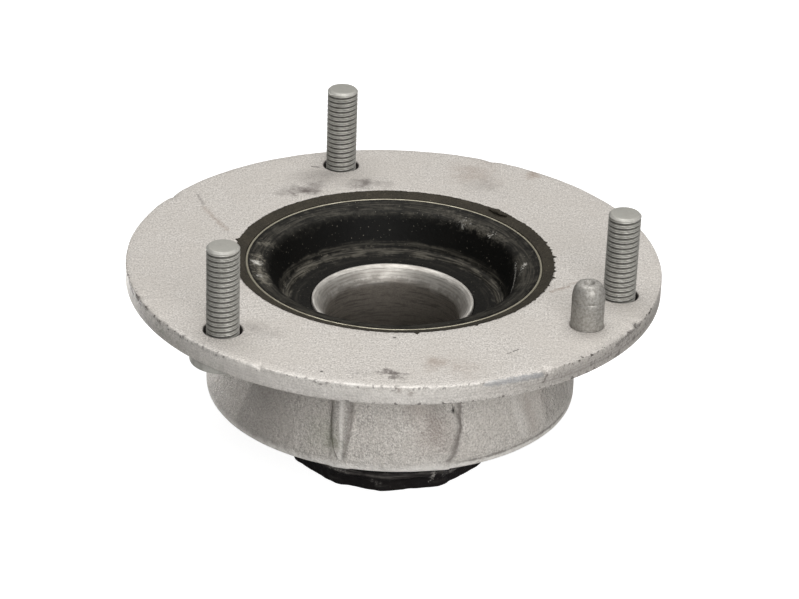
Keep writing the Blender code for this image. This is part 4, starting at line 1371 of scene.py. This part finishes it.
@dataclass
class EdgeSeal(SubAssembly):
    """The rubber ring round the opening, with a ragged flash over the flange and a torn flap."""

    inner_radius: float = 0.0373
    wall_radius: float = 0.03995
    edge_radius: float = 0.0401
    inner_drop: float = 0.0008
    flash_rise: float = 0.00009
    flash_reach: float = 0.00022
    tooth_reach: float = 0.0006
    lump_depth: float = 0.00009
    columns: int = 720
    flap_azimuth: float = 47.6
    flap_span: float = 9.0
    flap_width: float = 0.00085
    flap_height: float = 0.00045
    flap_rows: int = 9
    flap_columns: int = 14
    nibs: Sequence[tuple[float, float, float]] = (
        (169.2, 0.8, 0.0010), (278.5, 0.7, 0.0011), (300.0, 0.6, 0.0005), (47.6, 5.0, 0.0005))
    envelope: Envelope = field(default_factory=lambda: Envelope.of("edge_seal"))

    def form(self, turns: Numbers, radii: Numbers, levels: Numbers) -> Formed:
        """Make the flash ragged, most of all at the right, and pull out the torn nibs.

        Args:
            turns: Azimuth of each point.
            radii: Radius of each point.
            levels: Level of each point.

        Returns:
            The new radii and levels.
        """
        outer = radii > self.wall_radius + 0.00005
        ragged = Ripple(21, (17, 29, 47, 83, 113, 151), 0.9).along(turns)
        teeth = np.clip(Ripple(8, (61, 89, 127, 149, 173), 0.95).along(turns) - 0.12, 0, None)
        at_right = bell(near(turns, 358), 32) + 0.25
        push = self.flash_reach * ragged + self.tooth_reach * 2.4 * teeth * at_right
        for azimuth, width, reach in self.nibs:
            push = push + reach * bell(near(turns, azimuth), width)
        bumpy = Ripple(3, (13, 37, 59, 101, 139), 0.9).along(turns + 300 * radii / self.edge_radius)
        lump = self.lump_depth * bumpy
        top_side = levels > self.envelope.top - self.inner_drop - 0.0002
        return np.where(outer, radii + push, radii), np.where(top_side, levels + lump * 0.6, levels)

    def flap(self) -> Object:
        """Make the torn flap that lies over the ring at the far right."""
        rows, columns = self.flap_rows, self.flap_columns
        grid = np.zeros((rows, columns, 3))
        rough = np.random.default_rng(4).uniform(-1, 1, (rows, columns))
        for row, column in np.ndindex(rows, columns):
            share = row / (rows - 1)
            girth = math.sin(math.pi * (0.08 + 0.84 * share))
            angle = TURN * column / columns
            wide = self.flap_width * girth * (1 + 0.25 * rough[row, column])
            tall = self.flap_height * girth * (1 + 0.35 * rough[row, column])
            radius = self.edge_radius - 0.0008 + wide * math.cos(angle)
            level = self.envelope.top + 0.0002 + tall * math.sin(angle)
            grid[row, column] = polar(radius, self.flap_azimuth + (share - 0.5) * self.flap_span, level)
        return skin("edge_seal_flap", grid, closed=False)

    def build(self) -> list[Object]:
        """Build and dress the ring and its flap, and return them."""
        top = self.envelope.top
        outline = section([
            (self.inner_radius, top - self.inner_drop, 0.0001, 8),
            (self.wall_radius, top + self.flash_rise * 0.3, 0.0, 2),
            (self.edge_radius, top + self.flash_rise, 0.0, 1),
            (self.edge_radius, top + 0.00003, 0.0, 1),
            (self.wall_radius, top + 0.00002, 0.0, 3),
            (self.wall_radius, self.envelope.bottom, 0.0, 3),
            (self.inner_radius, self.envelope.bottom, 0.0, 3),
        ])
        ring = turned("edge_seal_ring", outline, self.columns, shape=self.form)
        finish = RubberFinish(
            "brown_rubber", tint(34, 31, 25), tint(52, 47, 38), tint(120, 112, 96),
            roughness=0.75, relief=0.00020, settled=0.13,
        )
        material = finish.build()
        flap = self.flap()
        flap.data.materials.append(material)
        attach(flap, Body.MOUNT.value)
        return [self.seat(ring, material, Slot.BROWN_RUBBER, ["edge_seal"]), flap]


@dataclass
class OuterSleeve(SubAssembly):
    """The thin steel sleeve, whose rolled top edge shows as a light line."""

    wall: float = SLEEVE_WALL
    columns: int = 240

    def build(self) -> list[Object]:
        """Build and dress the sleeve, and return it."""
        sleeve = Envelope.of("outer_sleeve")
        inner = sleeve.radius - self.wall
        outline = section([
            (inner, sleeve.top, 0.0003, 1),
            (sleeve.radius, sleeve.top, 0.0003, 10),
            (sleeve.radius, sleeve.bottom, 0.0002, 1),
            (inner, sleeve.bottom, 0.0002, 10),
        ])
        piece = turned("outer_sleeve_rolled", outline, self.columns)
        finish = SteelFinish(
            "sleeve_steel", tint(172, 166, 148), tint(122, 116, 100),
            metallic=0.5, smooth=0.35, matt=0.55, pitch=0.0004, cloud=0.004,
        )
        return [self.seat(piece, finish.build(), Slot.BRIGHT, ["outer_sleeve"])]


@dataclass
class RubberSpring(SubAssembly):
    """The bonded rubber ring: a bowl with a creased floor above, an undercut and a skirt below."""

    inner_radius: float = 0.0193
    lip_seat: float = 0.0206
    tube_seat: float = 0.0191
    seat_radius: float = 0.0227
    shoulder_radius: float = 0.0315
    shoulder_drop: float = 0.0011
    crease_radius: float = 0.0277
    crease_rise: float = 0.0009
    trough_radius: float = 0.0272
    floor_drop: float = 0.0006
    under_lip_drop: float = 0.0020
    skirt_radius: float = 0.0252
    undercut_level: float = 0.0252
    skirt_level: float = 0.0204
    waver_depth: float = 0.00012
    step_rise: float = 0.0026
    columns: int = 240

    def build(self) -> list[Object]:
        """Build and dress the rubber ring, and return it."""
        ring = Envelope.of("rubber_spring")
        sleeve = Envelope.of("outer_sleeve")
        collar = Envelope.of("bearing_carrier").top
        floor = collar - self.floor_drop
        outer = sleeve.radius - SLEEVE_WALL
        step = Envelope.of("bearing_outer_race").top + self.step_rise
        outline = section([
            (outer, ring.top + 0.0002, 0.0, 3),
            (outer - 0.0012, ring.top - 0.0001, 0.0006, 6),
            (self.shoulder_radius, ring.top - self.shoulder_drop, 0.0024, 16),
            (self.crease_radius + 0.0004, floor + self.crease_rise + 0.0002, 0.0010, 2),
            (self.crease_radius - 0.0006, floor + self.crease_rise, 0.0004, 2),
            (self.trough_radius - 0.0009, floor, 0.0005, 10),
            (self.lip_seat + 0.0003, floor, 0.0002, 1),
            (self.lip_seat, floor - 0.0003, 0.0, 2),
            (self.lip_seat, collar - self.under_lip_drop, 0.0, 1),
            (self.tube_seat, collar - self.under_lip_drop, 0.0, 6),
            (self.tube_seat, step, 0.0, 1),
            (self.seat_radius, step, 0.0, 4),
            (self.seat_radius, ring.bottom, 0.0, 2),
            (self.skirt_radius, ring.bottom, 0.0003, 6),
            (self.skirt_radius + 0.0012, self.skirt_level, 0.0020, 4),
            (self.skirt_radius + 0.0048, self.undercut_level, 0.0030, 3),
            (self.shoulder_radius + 0.0010, self.undercut_level, 0.0030, 4),
            (outer, sleeve.bottom + 0.0015, 0.0, 12),
        ], arc_steps=6)
        piece = turned("rubber_spring_moulded", outline, self.columns, shape=self.form)
        return [self.seat(piece, self.material(ring.top, floor), Slot.BLACK_RUBBER, ["rubber_spring"])]

    def form(self, turns: Numbers, radii: Numbers, levels: Numbers) -> Formed:
        """Let the moulded surface waver a little.

        Args:
            turns: Azimuth of each point.
            radii: Radius of each point.
            levels: Level of each point.

        Returns:
            The new radii and levels.
        """
        free = (radii > self.lip_seat + 0.002) & (radii < self.shoulder_radius + 0.003)
        waver = Ripple(14, (2, 5, 9, 14)).along(turns) * self.waver_depth
        return np.where(free, radii + waver, radii), levels

    def material(self, top: float, floor: float) -> Material:
        """Build the rubber with its dust.

        Args:
            top: Level of the ring's upper edge.
            floor: Level of the bowl's floor.

        Returns:
            The material.
        """
        dust = tint(128, 123, 112)
        pale = tint(190, 187, 180)
        crack = [(31.6, 10.0, 2.2), (31.2, 4.0, 3.0), (30.5, 357.0, 4.6), (29.7, 350.0, 6.6)]
        bowl = (top - floor) / MILLI
        rows = (
            (dust, 2.2, 0.8, 1.3, -0.2, 34.5, 178.0, 0.8, 34.5, 202.0, 0.9),
            (pale, 1.7, 1.0, 0.9, 0.2, 34.5, 184.0, 0.7),
            (pale, 1.3, 0.8, 1.3, 0.2, 34.5, 196.0, 0.8),
            (dust, 2.6, 0.5, 1.5, -0.2, 34.0, 165.0, 1.0),
            (dust, 3.0, 0.13, 1.1, -0.8, 34.8, 150.0, 0.7, 34.4, 70.0, 0.8),
            (dust, 2.0, 0.13, 1.5, -0.6, 33.8, 128.0, 1.2, 33.6, 92.0, 1.2),
            (dust, 2.0, 0.3, 1.7, -0.4, 34.0, 66.0, 1.0, 33.2, 30.0, 1.4),
            (pale, 1.8, 0.7, 1.8, -0.4, 32.6, 56.1, 1.8),
            (pale, 1.2, 0.9, 1.6, 0.2, 32.3, 39.8, 2.0),
            (dust, 3.0, 0.22, 1.2, -0.6, 32.3, 14.0, 1.9, 32.6, 345.0, 1.8),
            (pale, 0.7, 0.95, 1.2, 0.2, 28.8, 326.0, bowl - 3.2, 28.7, 336.0, bowl - 4.0),
            (pale, 0.8, 1.0, 1.3, 0.2, 33.2, 4.9, 1.1, 31.9, 354.5, 2.4),
            (pale, 0.8, 0.9, 1.4, 0.2, 31.9, 354.5, 2.4, 30.4, 347.0, 5.9),
            *((pale, 0.7, 1.0, 1.6, 0.2, *start, *end) for start, end in zip(crack, crack[1:])),
        )
        bands = [
            (self.shoulder_radius + 0.0028, top - 0.0009, 0.0036, 0.22),
            (self.crease_radius - 0.0006, floor + self.crease_rise, 0.0020, 0.42),
            (self.crease_radius + 0.0010, floor + self.crease_rise + 0.0014, 0.0012, 0.24),
            (self.crease_radius - 0.0034, floor, 0.0012, 0.10),
        ]
        finish = RubberFinish(
            "black_rubber", tint(7, 7, 6), tint(14, 13, 11), tint(126, 121, 110),
            roughness=0.6, grain=0.0007, relief=0.00009, settled=0.05, specular=0.11,
        )
        return finish.build([Mark.listed(top, *row) for row in rows], bands)


@dataclass
class BearingCarrier(SubAssembly):
    """The carrier tube with its rolled collar, bearing seat and ring groove."""

    bore_radius: float = 0.0170
    tube_radius: float = 0.0190
    collar_radius: float = 0.0205
    collar_thickness: float = 0.0018
    mouth_depth: float = 0.0037
    mouth_radius: float = 0.0192
    seat_radius: float = 0.0203
    step_level: float = 0.0212
    step_thickness: float = 0.0020
    groove_radius: float = 0.0213
    groove_bottom: float = 0.0068
    groove_top: float = 0.0089
    columns: int = 192

    def build(self) -> list[Object]:
        """Build and dress the carrier, and return it."""
        carrier = Envelope.of("bearing_carrier")
        under = carrier.top - self.collar_thickness
        step_top = self.step_level + self.step_thickness
        outline = section([
            (self.bore_radius, carrier.top - self.mouth_depth, 0.0014, 4),
            (self.bore_radius + 0.0006, carrier.top - self.mouth_depth + 0.0010, 0.0010, 3),
            (self.mouth_radius - 0.0004, carrier.top - 0.0007, 0.0012, 2),
            (self.mouth_radius + 0.0006, carrier.top, 0.0006, 2),
            (self.collar_radius, carrier.top, 0.0009, 2),
            (self.collar_radius, under, 0.0006, 2),
            (self.tube_radius, under, 0.0002, 8),
            (self.tube_radius, step_top, 0.0008, 3),
            (carrier.radius, step_top, 0.0010, 8),
            (carrier.radius, carrier.bottom, 0.0004, 2),
            (self.seat_radius, carrier.bottom, 0.0003, 1),
            (self.seat_radius, self.groove_bottom, 0.0, 1),
            (self.groove_radius, self.groove_bottom, 0.0, 1),
            (self.groove_radius, self.groove_top, 0.0, 1),
            (self.seat_radius, self.groove_top, 0.0, 8),
            (self.seat_radius, self.step_level, 0.0, 2),
            (self.bore_radius, self.step_level, 0.0, 14),
        ], arc_steps=6)
        piece = turned("bearing_carrier_rolled", outline, self.columns)
        material = CarrierFinish().build(carrier.top, self.mouth_depth)
        return [self.seat(piece, material, Slot.BRIGHT, ["bearing_carrier"])]


@dataclass
class BallBearing(SubAssembly):
    """Deep-groove bearing: two races, a caged set of balls and two seals."""

    ball_count: int = 8
    inner_land: float = 0.01216
    outer_land: float = 0.01634
    groove_radius: float = 0.00367
    ball_radius: float = 0.00337
    bore_chamfer: float = 0.0006
    seal_gap: float = 0.0002
    ball_rows: int = 18
    ball_columns: int = 32
    cage_inner: float = 0.01306
    cage_outer: float = 0.01544
    race_columns: int = 128
    cage_columns: int = 96

    def __post_init__(self) -> None:
        """Read the bearing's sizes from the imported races."""
        outer = Envelope.of("bearing_outer_race")
        low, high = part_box("ball_1")
        self.outer_radius, self.bottom, self.top = outer.radius, outer.bottom, outer.top
        self.middle = (outer.bottom + outer.top) / 2
        self.circle_radius = (low.x + high.x) / 2
        self.bore_radius = 2 * self.circle_radius - outer.radius

    def groove(self, land: float, steps: int = 10) -> list[tuple[float, float]]:
        """List points of the ball groove in a race, from top to bottom.

        Args:
            land: Radius of the race's land.
            steps: Steps along the groove.

        Returns:
            Radius and level of each point.
        """
        half = math.acos(abs(land - self.circle_radius) / self.groove_radius)
        outward = land > self.circle_radius
        points = []
        for step in range(steps + 1):
            angle = half * (1 - 2 * step / steps)
            across = self.groove_radius * math.cos(angle)
            radius = self.circle_radius + (across if outward else -across)
            points.append((radius, self.middle + self.groove_radius * math.sin(angle)))
        return points

    def race(self, name: str, back: float, land: float) -> Object:
        """Make one race.

        Args:
            name: Name of the piece.
            back: Radius of the side away from the balls.
            land: Radius of the side towards the balls.

        Returns:
            The race.
        """
        corners = section([
            (land, self.bottom, 0.0, 3),
            (back, self.bottom, self.bore_chamfer, 6),
            (back, self.top, self.bore_chamfer, 3),
            (land, self.top, 0.0, 1),
        ], closed=False)
        outline = [tuple(point) for point in corners] + self.groove(land)
        return turned(name, np.array(outline), self.race_columns)

    def seal(self, name: str, node: str) -> Object:
        """Make one seal: a rubber-faced disc with a raised outer bead and a thin lip.

        Args:
            name: Name of the piece.
            node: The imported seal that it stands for.

        Returns:
            The seal.
        """
        packed = Envelope.of(node)
        inner = self.inner_land + self.seal_gap
        outer = self.outer_land - self.seal_gap
        height = packed.top - packed.bottom
        outline = section([
            (inner, packed.bottom + height * 0.25, 0.0001, 3),
            (inner + 0.0009, packed.bottom + height * 0.1, 0.0002, 4),
            (outer - 0.0008, packed.bottom + height * 0.1, 0.0002, 2),
            (outer - 0.0004, packed.bottom, 0.0002, 1),
            (outer, packed.bottom, 0.0001, 2),
            (outer, packed.top, 0.0001, 1),
            (outer - 0.0004, packed.top, 0.0002, 2),
            (outer - 0.0008, packed.top - height * 0.1, 0.0002, 4),
            (inner + 0.0009, packed.top - height * 0.1, 0.0002, 3),
            (inner, packed.top - height * 0.25, 0.0001, 1),
        ])
        return turned(name, outline, self.race_columns)

    def cage(self) -> Object:
        """Make the cage with its ball pockets."""
        packed = Envelope.of("bearing_cage")
        outline = section([
            (self.cage_inner, packed.bottom, 0.0002, 10),
            (self.cage_inner, packed.top, 0.0002, 2),
            (self.cage_outer, packed.top, 0.0002, 10),
            (self.cage_outer, packed.bottom, 0.0002, 2),
        ])
        ring = turned("bearing_cage_pressed", outline, self.cage_columns)
        combine(ring, [self.ball("pocket_tool", step, self.groove_radius) for step in range(self.ball_count)])
        return ring

    def ball(self, name: str, step: int, radius: float) -> Object:
        """Make one ball, or the tool for its pocket.

        Args:
            name: Name of the piece.
            step: Its place in the ring.
            radius: Its radius.

        Returns:
            The ball.
        """
        angles = [math.pi * row / self.ball_rows for row in range(1, self.ball_rows)]
        outline = [(radius * math.sin(angle), self.middle + radius * math.cos(angle)) for angle in angles]
        centre = polar(self.circle_radius, 360 / self.ball_count * step)
        return turned(name, np.array(outline), self.ball_columns, centre, closed=False)

    def build(self) -> list[Object]:
        """Build and dress the bearing's pieces, and return them."""
        steel = SteelFinish(
            "bearing_steel", tint(196, 194, 190), tint(158, 155, 150),
            metallic=1.0, smooth=0.16, matt=0.3, pitch=0.0003, relief=0.000006, cloud=0.006,
        ).build()
        ball_steel = SteelFinish(
            "polished_ball_steel", tint(206, 205, 202), tint(180, 178, 174),
            metallic=1.0, smooth=0.06, matt=0.12, pitch=0.0006, relief=0.000002, cloud=0.004,
        ).build()
        pressed = SteelFinish(
            "cage_steel", tint(176, 170, 158), tint(140, 134, 122),
            matt=0.42, pitch=0.0004, relief=0.00001,
        ).build()
        lip = RubberFinish(
            "seal_rubber", tint(26, 26, 26), tint(34, 33, 32), tint(90, 86, 80),
            grain=0.0005, relief=0.00004, settled=0.15,
        ).build()
        inner = self.race("bearing_inner_race_ground", self.bore_radius, self.inner_land)
        outer = self.race("bearing_outer_race_ground", self.outer_radius, self.outer_land)
        pieces = [
            self.seat(inner, steel, Slot.BEARING, ["bearing_inner_race"], Body.INNER_RACE),
            self.seat(outer, steel, Slot.BEARING, ["bearing_outer_race"]),
            self.seat(self.cage(), pressed, Slot.CAGE, ["bearing_cage"], Body.BALL_SET),
        ]
        for side in ("upper", "lower"):
            seal = self.seal(f"{side}_seal_lipped", f"{side}_seal")
            pieces.append(self.seat(seal, lip, Slot.BLACK_RUBBER, [f"{side}_seal"]))
        for step in range(self.ball_count):
            node = f"ball_{step + 1}"
            ball = self.ball(node + "_polished", step, self.ball_radius)
            pieces.append(self.seat(ball, ball_steel, Slot.BEARING, [node], Body.BALL_SET))
        return pieces


@dataclass
class RetainingRing(SubAssembly):
    """The open snap ring below the bearing, with a drilled lug at each end."""

    width: float = 0.0022
    outer_radius: float = 0.0210
    opening_deg: float = 22.0
    azimuth: float = 270.0
    lug_radius: float = 0.0019
    lug_hole_radius: float = 0.0009
    steps: int = 96
    edge_round: float = 0.00012
    edge_angle_deg: float = 50.0
    lug_inset: float = 0.00002
    hole_excess: float = 0.001
    lug_columns: int = 32

    def strip(self, bottom: float, top: float) -> Object:
        """Make the open ring as a strip with a square section.

        Args:
            bottom: Level of its underside.
            top: Level of its top.

        Returns:
            The strip.
        """
        inner = self.outer_radius - self.width
        corners = ((inner, bottom), (self.outer_radius, bottom), (self.outer_radius, top), (inner, top))
        span = 360 - self.opening_deg
        grid = np.zeros((self.steps + 1, len(corners), 3))
        for step in range(self.steps + 1):
            azimuth = self.azimuth + self.opening_deg / 2 + span * step / self.steps
            for side, (radius, level) in enumerate(corners):
                grid[step, side] = polar(radius, azimuth, level)
        return skin("retaining_ring_sprung", grid, closed=False)

    def disc(self, name: str, centre: Vector, radius: float, bottom: float, top: float) -> Object:
        """Make a short round body for a lug or its hole.

        Args:
            name: Name of the body.
            centre: A point on its axis.
            radius: Its radius.
            bottom: Level of its underside.
            top: Level of its top.

        Returns:
            The body.
        """
        outline = np.array([(0.0001, bottom), (radius, bottom), (radius, top), (0.0001, top)])
        return turned(name, outline, self.lug_columns, centre, closed=False)

    def build(self) -> list[Object]:
        """Build and dress the ring, and return it."""
        packed = Envelope.of("retaining_ring")
        ring = self.strip(packed.bottom, packed.top)
        circle = self.outer_radius - self.width - self.lug_radius / 2
        swing = self.opening_deg / 2 + math.degrees(self.lug_radius / circle)
        centres = [polar(circle, self.azimuth + sign * swing) for sign in (1, -1)]
        low, high = packed.bottom + self.lug_inset, packed.top - self.lug_inset
        combine(ring, [self.disc("lug_tool", centre, self.lug_radius, low, high) for centre in centres], "UNION")
        low, high = packed.bottom - self.hole_excess, packed.top + self.hole_excess
        combine(ring, [self.disc("hole_tool", centre, self.lug_hole_radius, low, high) for centre in centres])
        bevel = ring.modifiers.new("edges", "BEVEL")
        bevel.width = self.edge_round
        bevel.segments = 2
        bevel.limit_method = "ANGLE"
        bevel.angle_limit = math.radians(self.edge_angle_deg)
        finish = SteelFinish(
            "spring_steel", tint(112, 110, 108), tint(76, 74, 72),
            metallic=0.85, smooth=0.34, pitch=0.0005, relief=0.00001,
        )
        return [self.seat(ring, finish.build(), Slot.BEARING, ["retaining_ring"])]


@dataclass
class LowerStop(SubAssembly):
    """The black rubber stop: a sleeve over the carrier's end and a lumpy lobed foot."""

    inner_radius: float = 0.0229
    top_radius: float = 0.0252
    bead_level: float = 0.0040
    foot_level: float = 0.0031
    foot_setback: float = 0.0005
    pad_thickness: float = 0.0053
    mouth_radius: float = 0.0195
    corner_azimuths: Sequence[float] = (208.6, 241.0, 264.5, 299.3, 336.0, 8.7, 41.4, 74.1, 106.8, 139.5, 174.0)
    corner_reach_deg: float = 16.0
    lift_depth: float = 0.0003
    flat_depth: float = 0.0009
    lump_depth: float = 0.0005
    columns: int = 480

    def form(self, turns: Numbers, radii: Numbers, levels: Numbers) -> Formed:
        """Flatten the foot between its corners and press lumps into its side.

        Args:
            turns: Azimuth of each point.
            radii: Radius of each point.
            levels: Level of each point.

        Returns:
            The new radii and levels.
        """
        nearest = np.full(turns.shape, 180.0)
        for azimuth in self.corner_azimuths:
            nearest = np.minimum(nearest, np.abs(near(turns, azimuth)))
        away = np.clip(nearest / self.corner_reach_deg, 0, 1)
        low = np.clip((self.bead_level + 0.0004 - levels) / 0.0016, 0, 1)
        outside = radii > self.mouth_radius + 0.0015
        inset = self.flat_depth * np.sin(away * math.pi / 2) ** 2
        lumpy = Ripple(33, (9, 14, 23, 31, 41), 0.85).along(turns + 1500 * levels)
        lumps = self.lump_depth * np.clip(lumpy, -1, 0.2)
        formed = np.where(outside, radii - low * inset + low * lumps, radii)
        lift = low * self.lift_depth * Ripple(6, (7, 11, 17)).along(turns)
        lifted = np.where(outside & (levels > 0.0004), levels + lift, levels)
        return formed, lifted

    def build(self) -> list[Object]:
        """Build and dress the stop, and return it."""
        stop = Envelope.of("lower_stop")
        bead = stop.radius
        foot = bead - self.foot_setback
        outline = section([
            (self.inner_radius, stop.top, 0.0002, 1),
            (self.top_radius, stop.top, 0.0008, 10),
            (bead - 0.0004, self.bead_level + 0.0010, 0.0006, 2),
            (bead - 0.0002, self.bead_level, 0.0006, 3),
            (foot, self.foot_level - 0.0004, 0.0006, 8),
            (foot, 0.0, 0.0005, 6),
            (self.mouth_radius, 0.0, 0.0006, 5),
            (self.mouth_radius, self.pad_thickness, 0.0002, 2),
            (self.inner_radius, self.pad_thickness, 0.0, 8),
        ], arc_steps=5)
        piece = turned("lower_stop_moulded", outline, self.columns, shape=self.form)
        finish = RubberFinish(
            "stop_rubber", tint(24, 22, 22), tint(32, 28, 27), tint(96, 92, 88),
            roughness=0.36, grain=0.0014, relief=0.00025, settled=0.12,
        )
        middle = stop.top * 0.55
        pale = tint(170, 166, 160)
        marks = [
            Mark(polar(0.0262, 225.0, middle), polar(0.0262, 315.0, middle), 0.0040, 0.35, tint(52, 40, 38), 0.5),
            # Pale painted highlights on the front of the bead, mixed with scratches.
            Mark(polar(bead, 280.2, 0.0031), polar(bead, 287.4, 0.0019), 0.0007, 0.8, pale, 1.6),
            Mark(polar(bead, 296.4, 0.0046), polar(bead, 294.3, 0.0019), 0.0008, 0.8, pale, 1.6),
            Mark(polar(bead, 262.0, 0.0030), polar(bead, 266.0, 0.0024), 0.0009, 0.35, pale, 1.6, -0.4),
            Mark(polar(bead, 303.5, 0.0032), polar(bead, 315.8, 0.0034), 0.0011, 0.75, pale, 1.5, -0.1),
            Mark(polar(bead, 233.2, 0.0051), polar(bead, 247.6, 0.0042), 0.0007, 0.55, pale, 1.6, -0.1),
        ]
        bands = [
            (bead - 0.0002, self.bead_level + 0.0006, 0.0010, 0.75),
            (bead - 0.0002, self.bead_level - 0.0024, 0.0007, 0.25),
        ]
        return [self.seat(piece, finish.build(marks, bands), Slot.STOP_RUBBER, ["lower_stop"])]


@dataclass(frozen=True)
class Lamp:
    """One soft light that faces the mount."""

    name: str
    azimuth: float
    elevation: float
    distance: float
    width: float
    height: float
    power: float

    def hang(self, target: Vector) -> None:
        """Hang the light so that it faces a point.

        Args:
            target: The point that it faces.
        """
        light = bpy.data.lights.new(self.name, "AREA")
        light.shape = "RECTANGLE"
        light.size, light.size_y = self.width, self.height
        light.energy = self.power
        item = bpy.data.objects.new(self.name, light)
        item.visible_camera = False
        bpy.context.scene.collection.objects.link(item)
        rise = math.radians(self.elevation)
        reach = polar(self.distance * math.cos(rise), self.azimuth, self.distance * math.sin(rise))
        item.location = target + reach
        item.rotation_euler = (-reach).to_track_quat("-Z", "Y").to_euler()


@dataclass
class Studio:
    """White sweep, soft lights and the camera of the picture."""

    picture_width: float = 799.0
    focal_pixels: float = 2779.0
    sensor: float = 36.0
    distance: float = 0.6961
    elevation: float = 26.12
    yaw: float = -0.14
    pitch: float = -0.85
    roll: float = -2.01
    target: float = field(default_factory=lambda: Envelope.of("mount_body").top)
    sky_strength: float = 0.06
    floor_bounce: float = 0.35
    floor_glow: float = 0.9
    floor_radius: float = 4.0
    floor_drop: float = 0.0002
    lit_share: float = 0.6
    lamps: Sequence[Lamp] = (
        Lamp("top_light", 90.0, 80.0, 1.1, 1.0, 1.0, 13.5),
        Lamp("front_light", 288.0, 25.0, 1.1, 0.8, 0.6, 10.0),
        Lamp("left_light", 146.0, -7.9, 0.17, 0.1, 0.012, 0.1),
        Lamp("right_light", 350.0, 20.0, 1.1, 0.4, 0.4, 0.5),
    )

    def camera(self) -> None:
        """Make the camera at the picture's viewpoint."""
        lens = bpy.data.cameras.new("camera")
        lens.sensor_width = self.sensor
        lens.lens = self.focal_pixels / self.picture_width * self.sensor
        lens.clip_start = 0.01
        lens.clip_end = 20.0
        eye = bpy.data.objects.new("camera", lens)
        bpy.context.scene.collection.objects.link(eye)
        rise = math.radians(self.elevation)
        offset = Vector((0.0, -self.distance * math.cos(rise), self.distance * math.sin(rise)))
        ahead = -offset.normalized()
        right = Vector((1.0, 0.0, 0.0))
        up = right.cross(ahead)
        yaw = Matrix.Rotation(math.radians(self.yaw), 3, up)
        ahead, right = yaw @ ahead, yaw @ right
        pitch = Matrix.Rotation(math.radians(self.pitch), 3, right)
        ahead, up = pitch @ ahead, pitch @ up
        roll = Matrix.Rotation(math.radians(self.roll), 3, ahead)
        right, up = roll @ right, roll @ up
        turn = Matrix((right, up, -ahead)).transposed().to_4x4()
        eye.matrix_world = Matrix.Translation(offset + Vector((0.0, 0.0, self.target))) @ turn
        bpy.context.scene.camera = eye

    def floor(self) -> None:
        """Lay the floor, which looks white and throws little light back."""
        builder = bmesh.new()
        bmesh.ops.create_circle(builder, cap_ends=True, segments=96, radius=self.floor_radius)
        mesh = bpy.data.meshes.new("floor")
        builder.to_mesh(mesh)
        builder.free()
        ground = place_object("floor", mesh)
        ground.location.z = -self.floor_drop
        finish = Finish("pale_floor", 0.0, 0.0)
        graph = finish.graph
        grain = finish.grain(0.002, 0.3)
        white = (self.floor_glow, self.floor_glow, self.floor_glow, 1.0)
        finish.colour = (self.floor_bounce, self.floor_bounce, self.floor_bounce, 1.0)
        finish.lay(white, grain, 0.05)
        seen = graph.node("LightPath", {}).outputs["Is Camera Ray"]
        graph.feed(finish.shader.inputs["Emission Color"], graph.blend(seen, (0.0, 0.0, 0.0, 1.0), white))
        finish.shader.inputs["Emission Strength"].default_value = 1.0
        mesh.materials.append(finish.close(0.9, grain, 0.00001))

    def world(self) -> None:
        """Light the surroundings an even white."""
        sky = bpy.data.worlds.new("white_sweep")
        sky.use_nodes = True
        back = sky.node_tree.nodes["Background"]
        back.inputs["Color"].default_value = (1.0, 1.0, 1.0, 1.0)
        back.inputs["Strength"].default_value = self.sky_strength
        bpy.context.scene.world = sky

    def build(self) -> None:
        """Set up the whole studio."""
        bpy.context.scene.view_settings.view_transform = "Standard"
        bpy.context.scene.view_settings.look = "None"
        self.camera()
        self.world()
        self.floor()
        for lamp in self.lamps:
            lamp.hang(Vector((0.0, 0.0, self.target * self.lit_share)))


def main() -> None:
    """Build the effects, the studio and every sub-assembly, and report each piece."""
    logging.basicConfig(level=logging.INFO, format="%(name)s: %(message)s")
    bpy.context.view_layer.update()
    for make in (make_grain, make_smear, make_ring, make_turning, make_mottle, make_facing_up, make_sector,
                 make_flank, make_pits):
        make()
    Studio().build()
    for group in (CastBody, StudSet, LocatingPin, EdgeSeal, OuterSleeve, RubberSpring, BearingCarrier,
                  BallBearing, RetainingRing, LowerStop):
        for piece in group().build():
            triangles = sum(len(face.vertices) - 2 for face in piece.data.polygons)
            LOG.info("%s: %d triangles", piece.name, triangles)


if __name__ == "__main__":
    main()
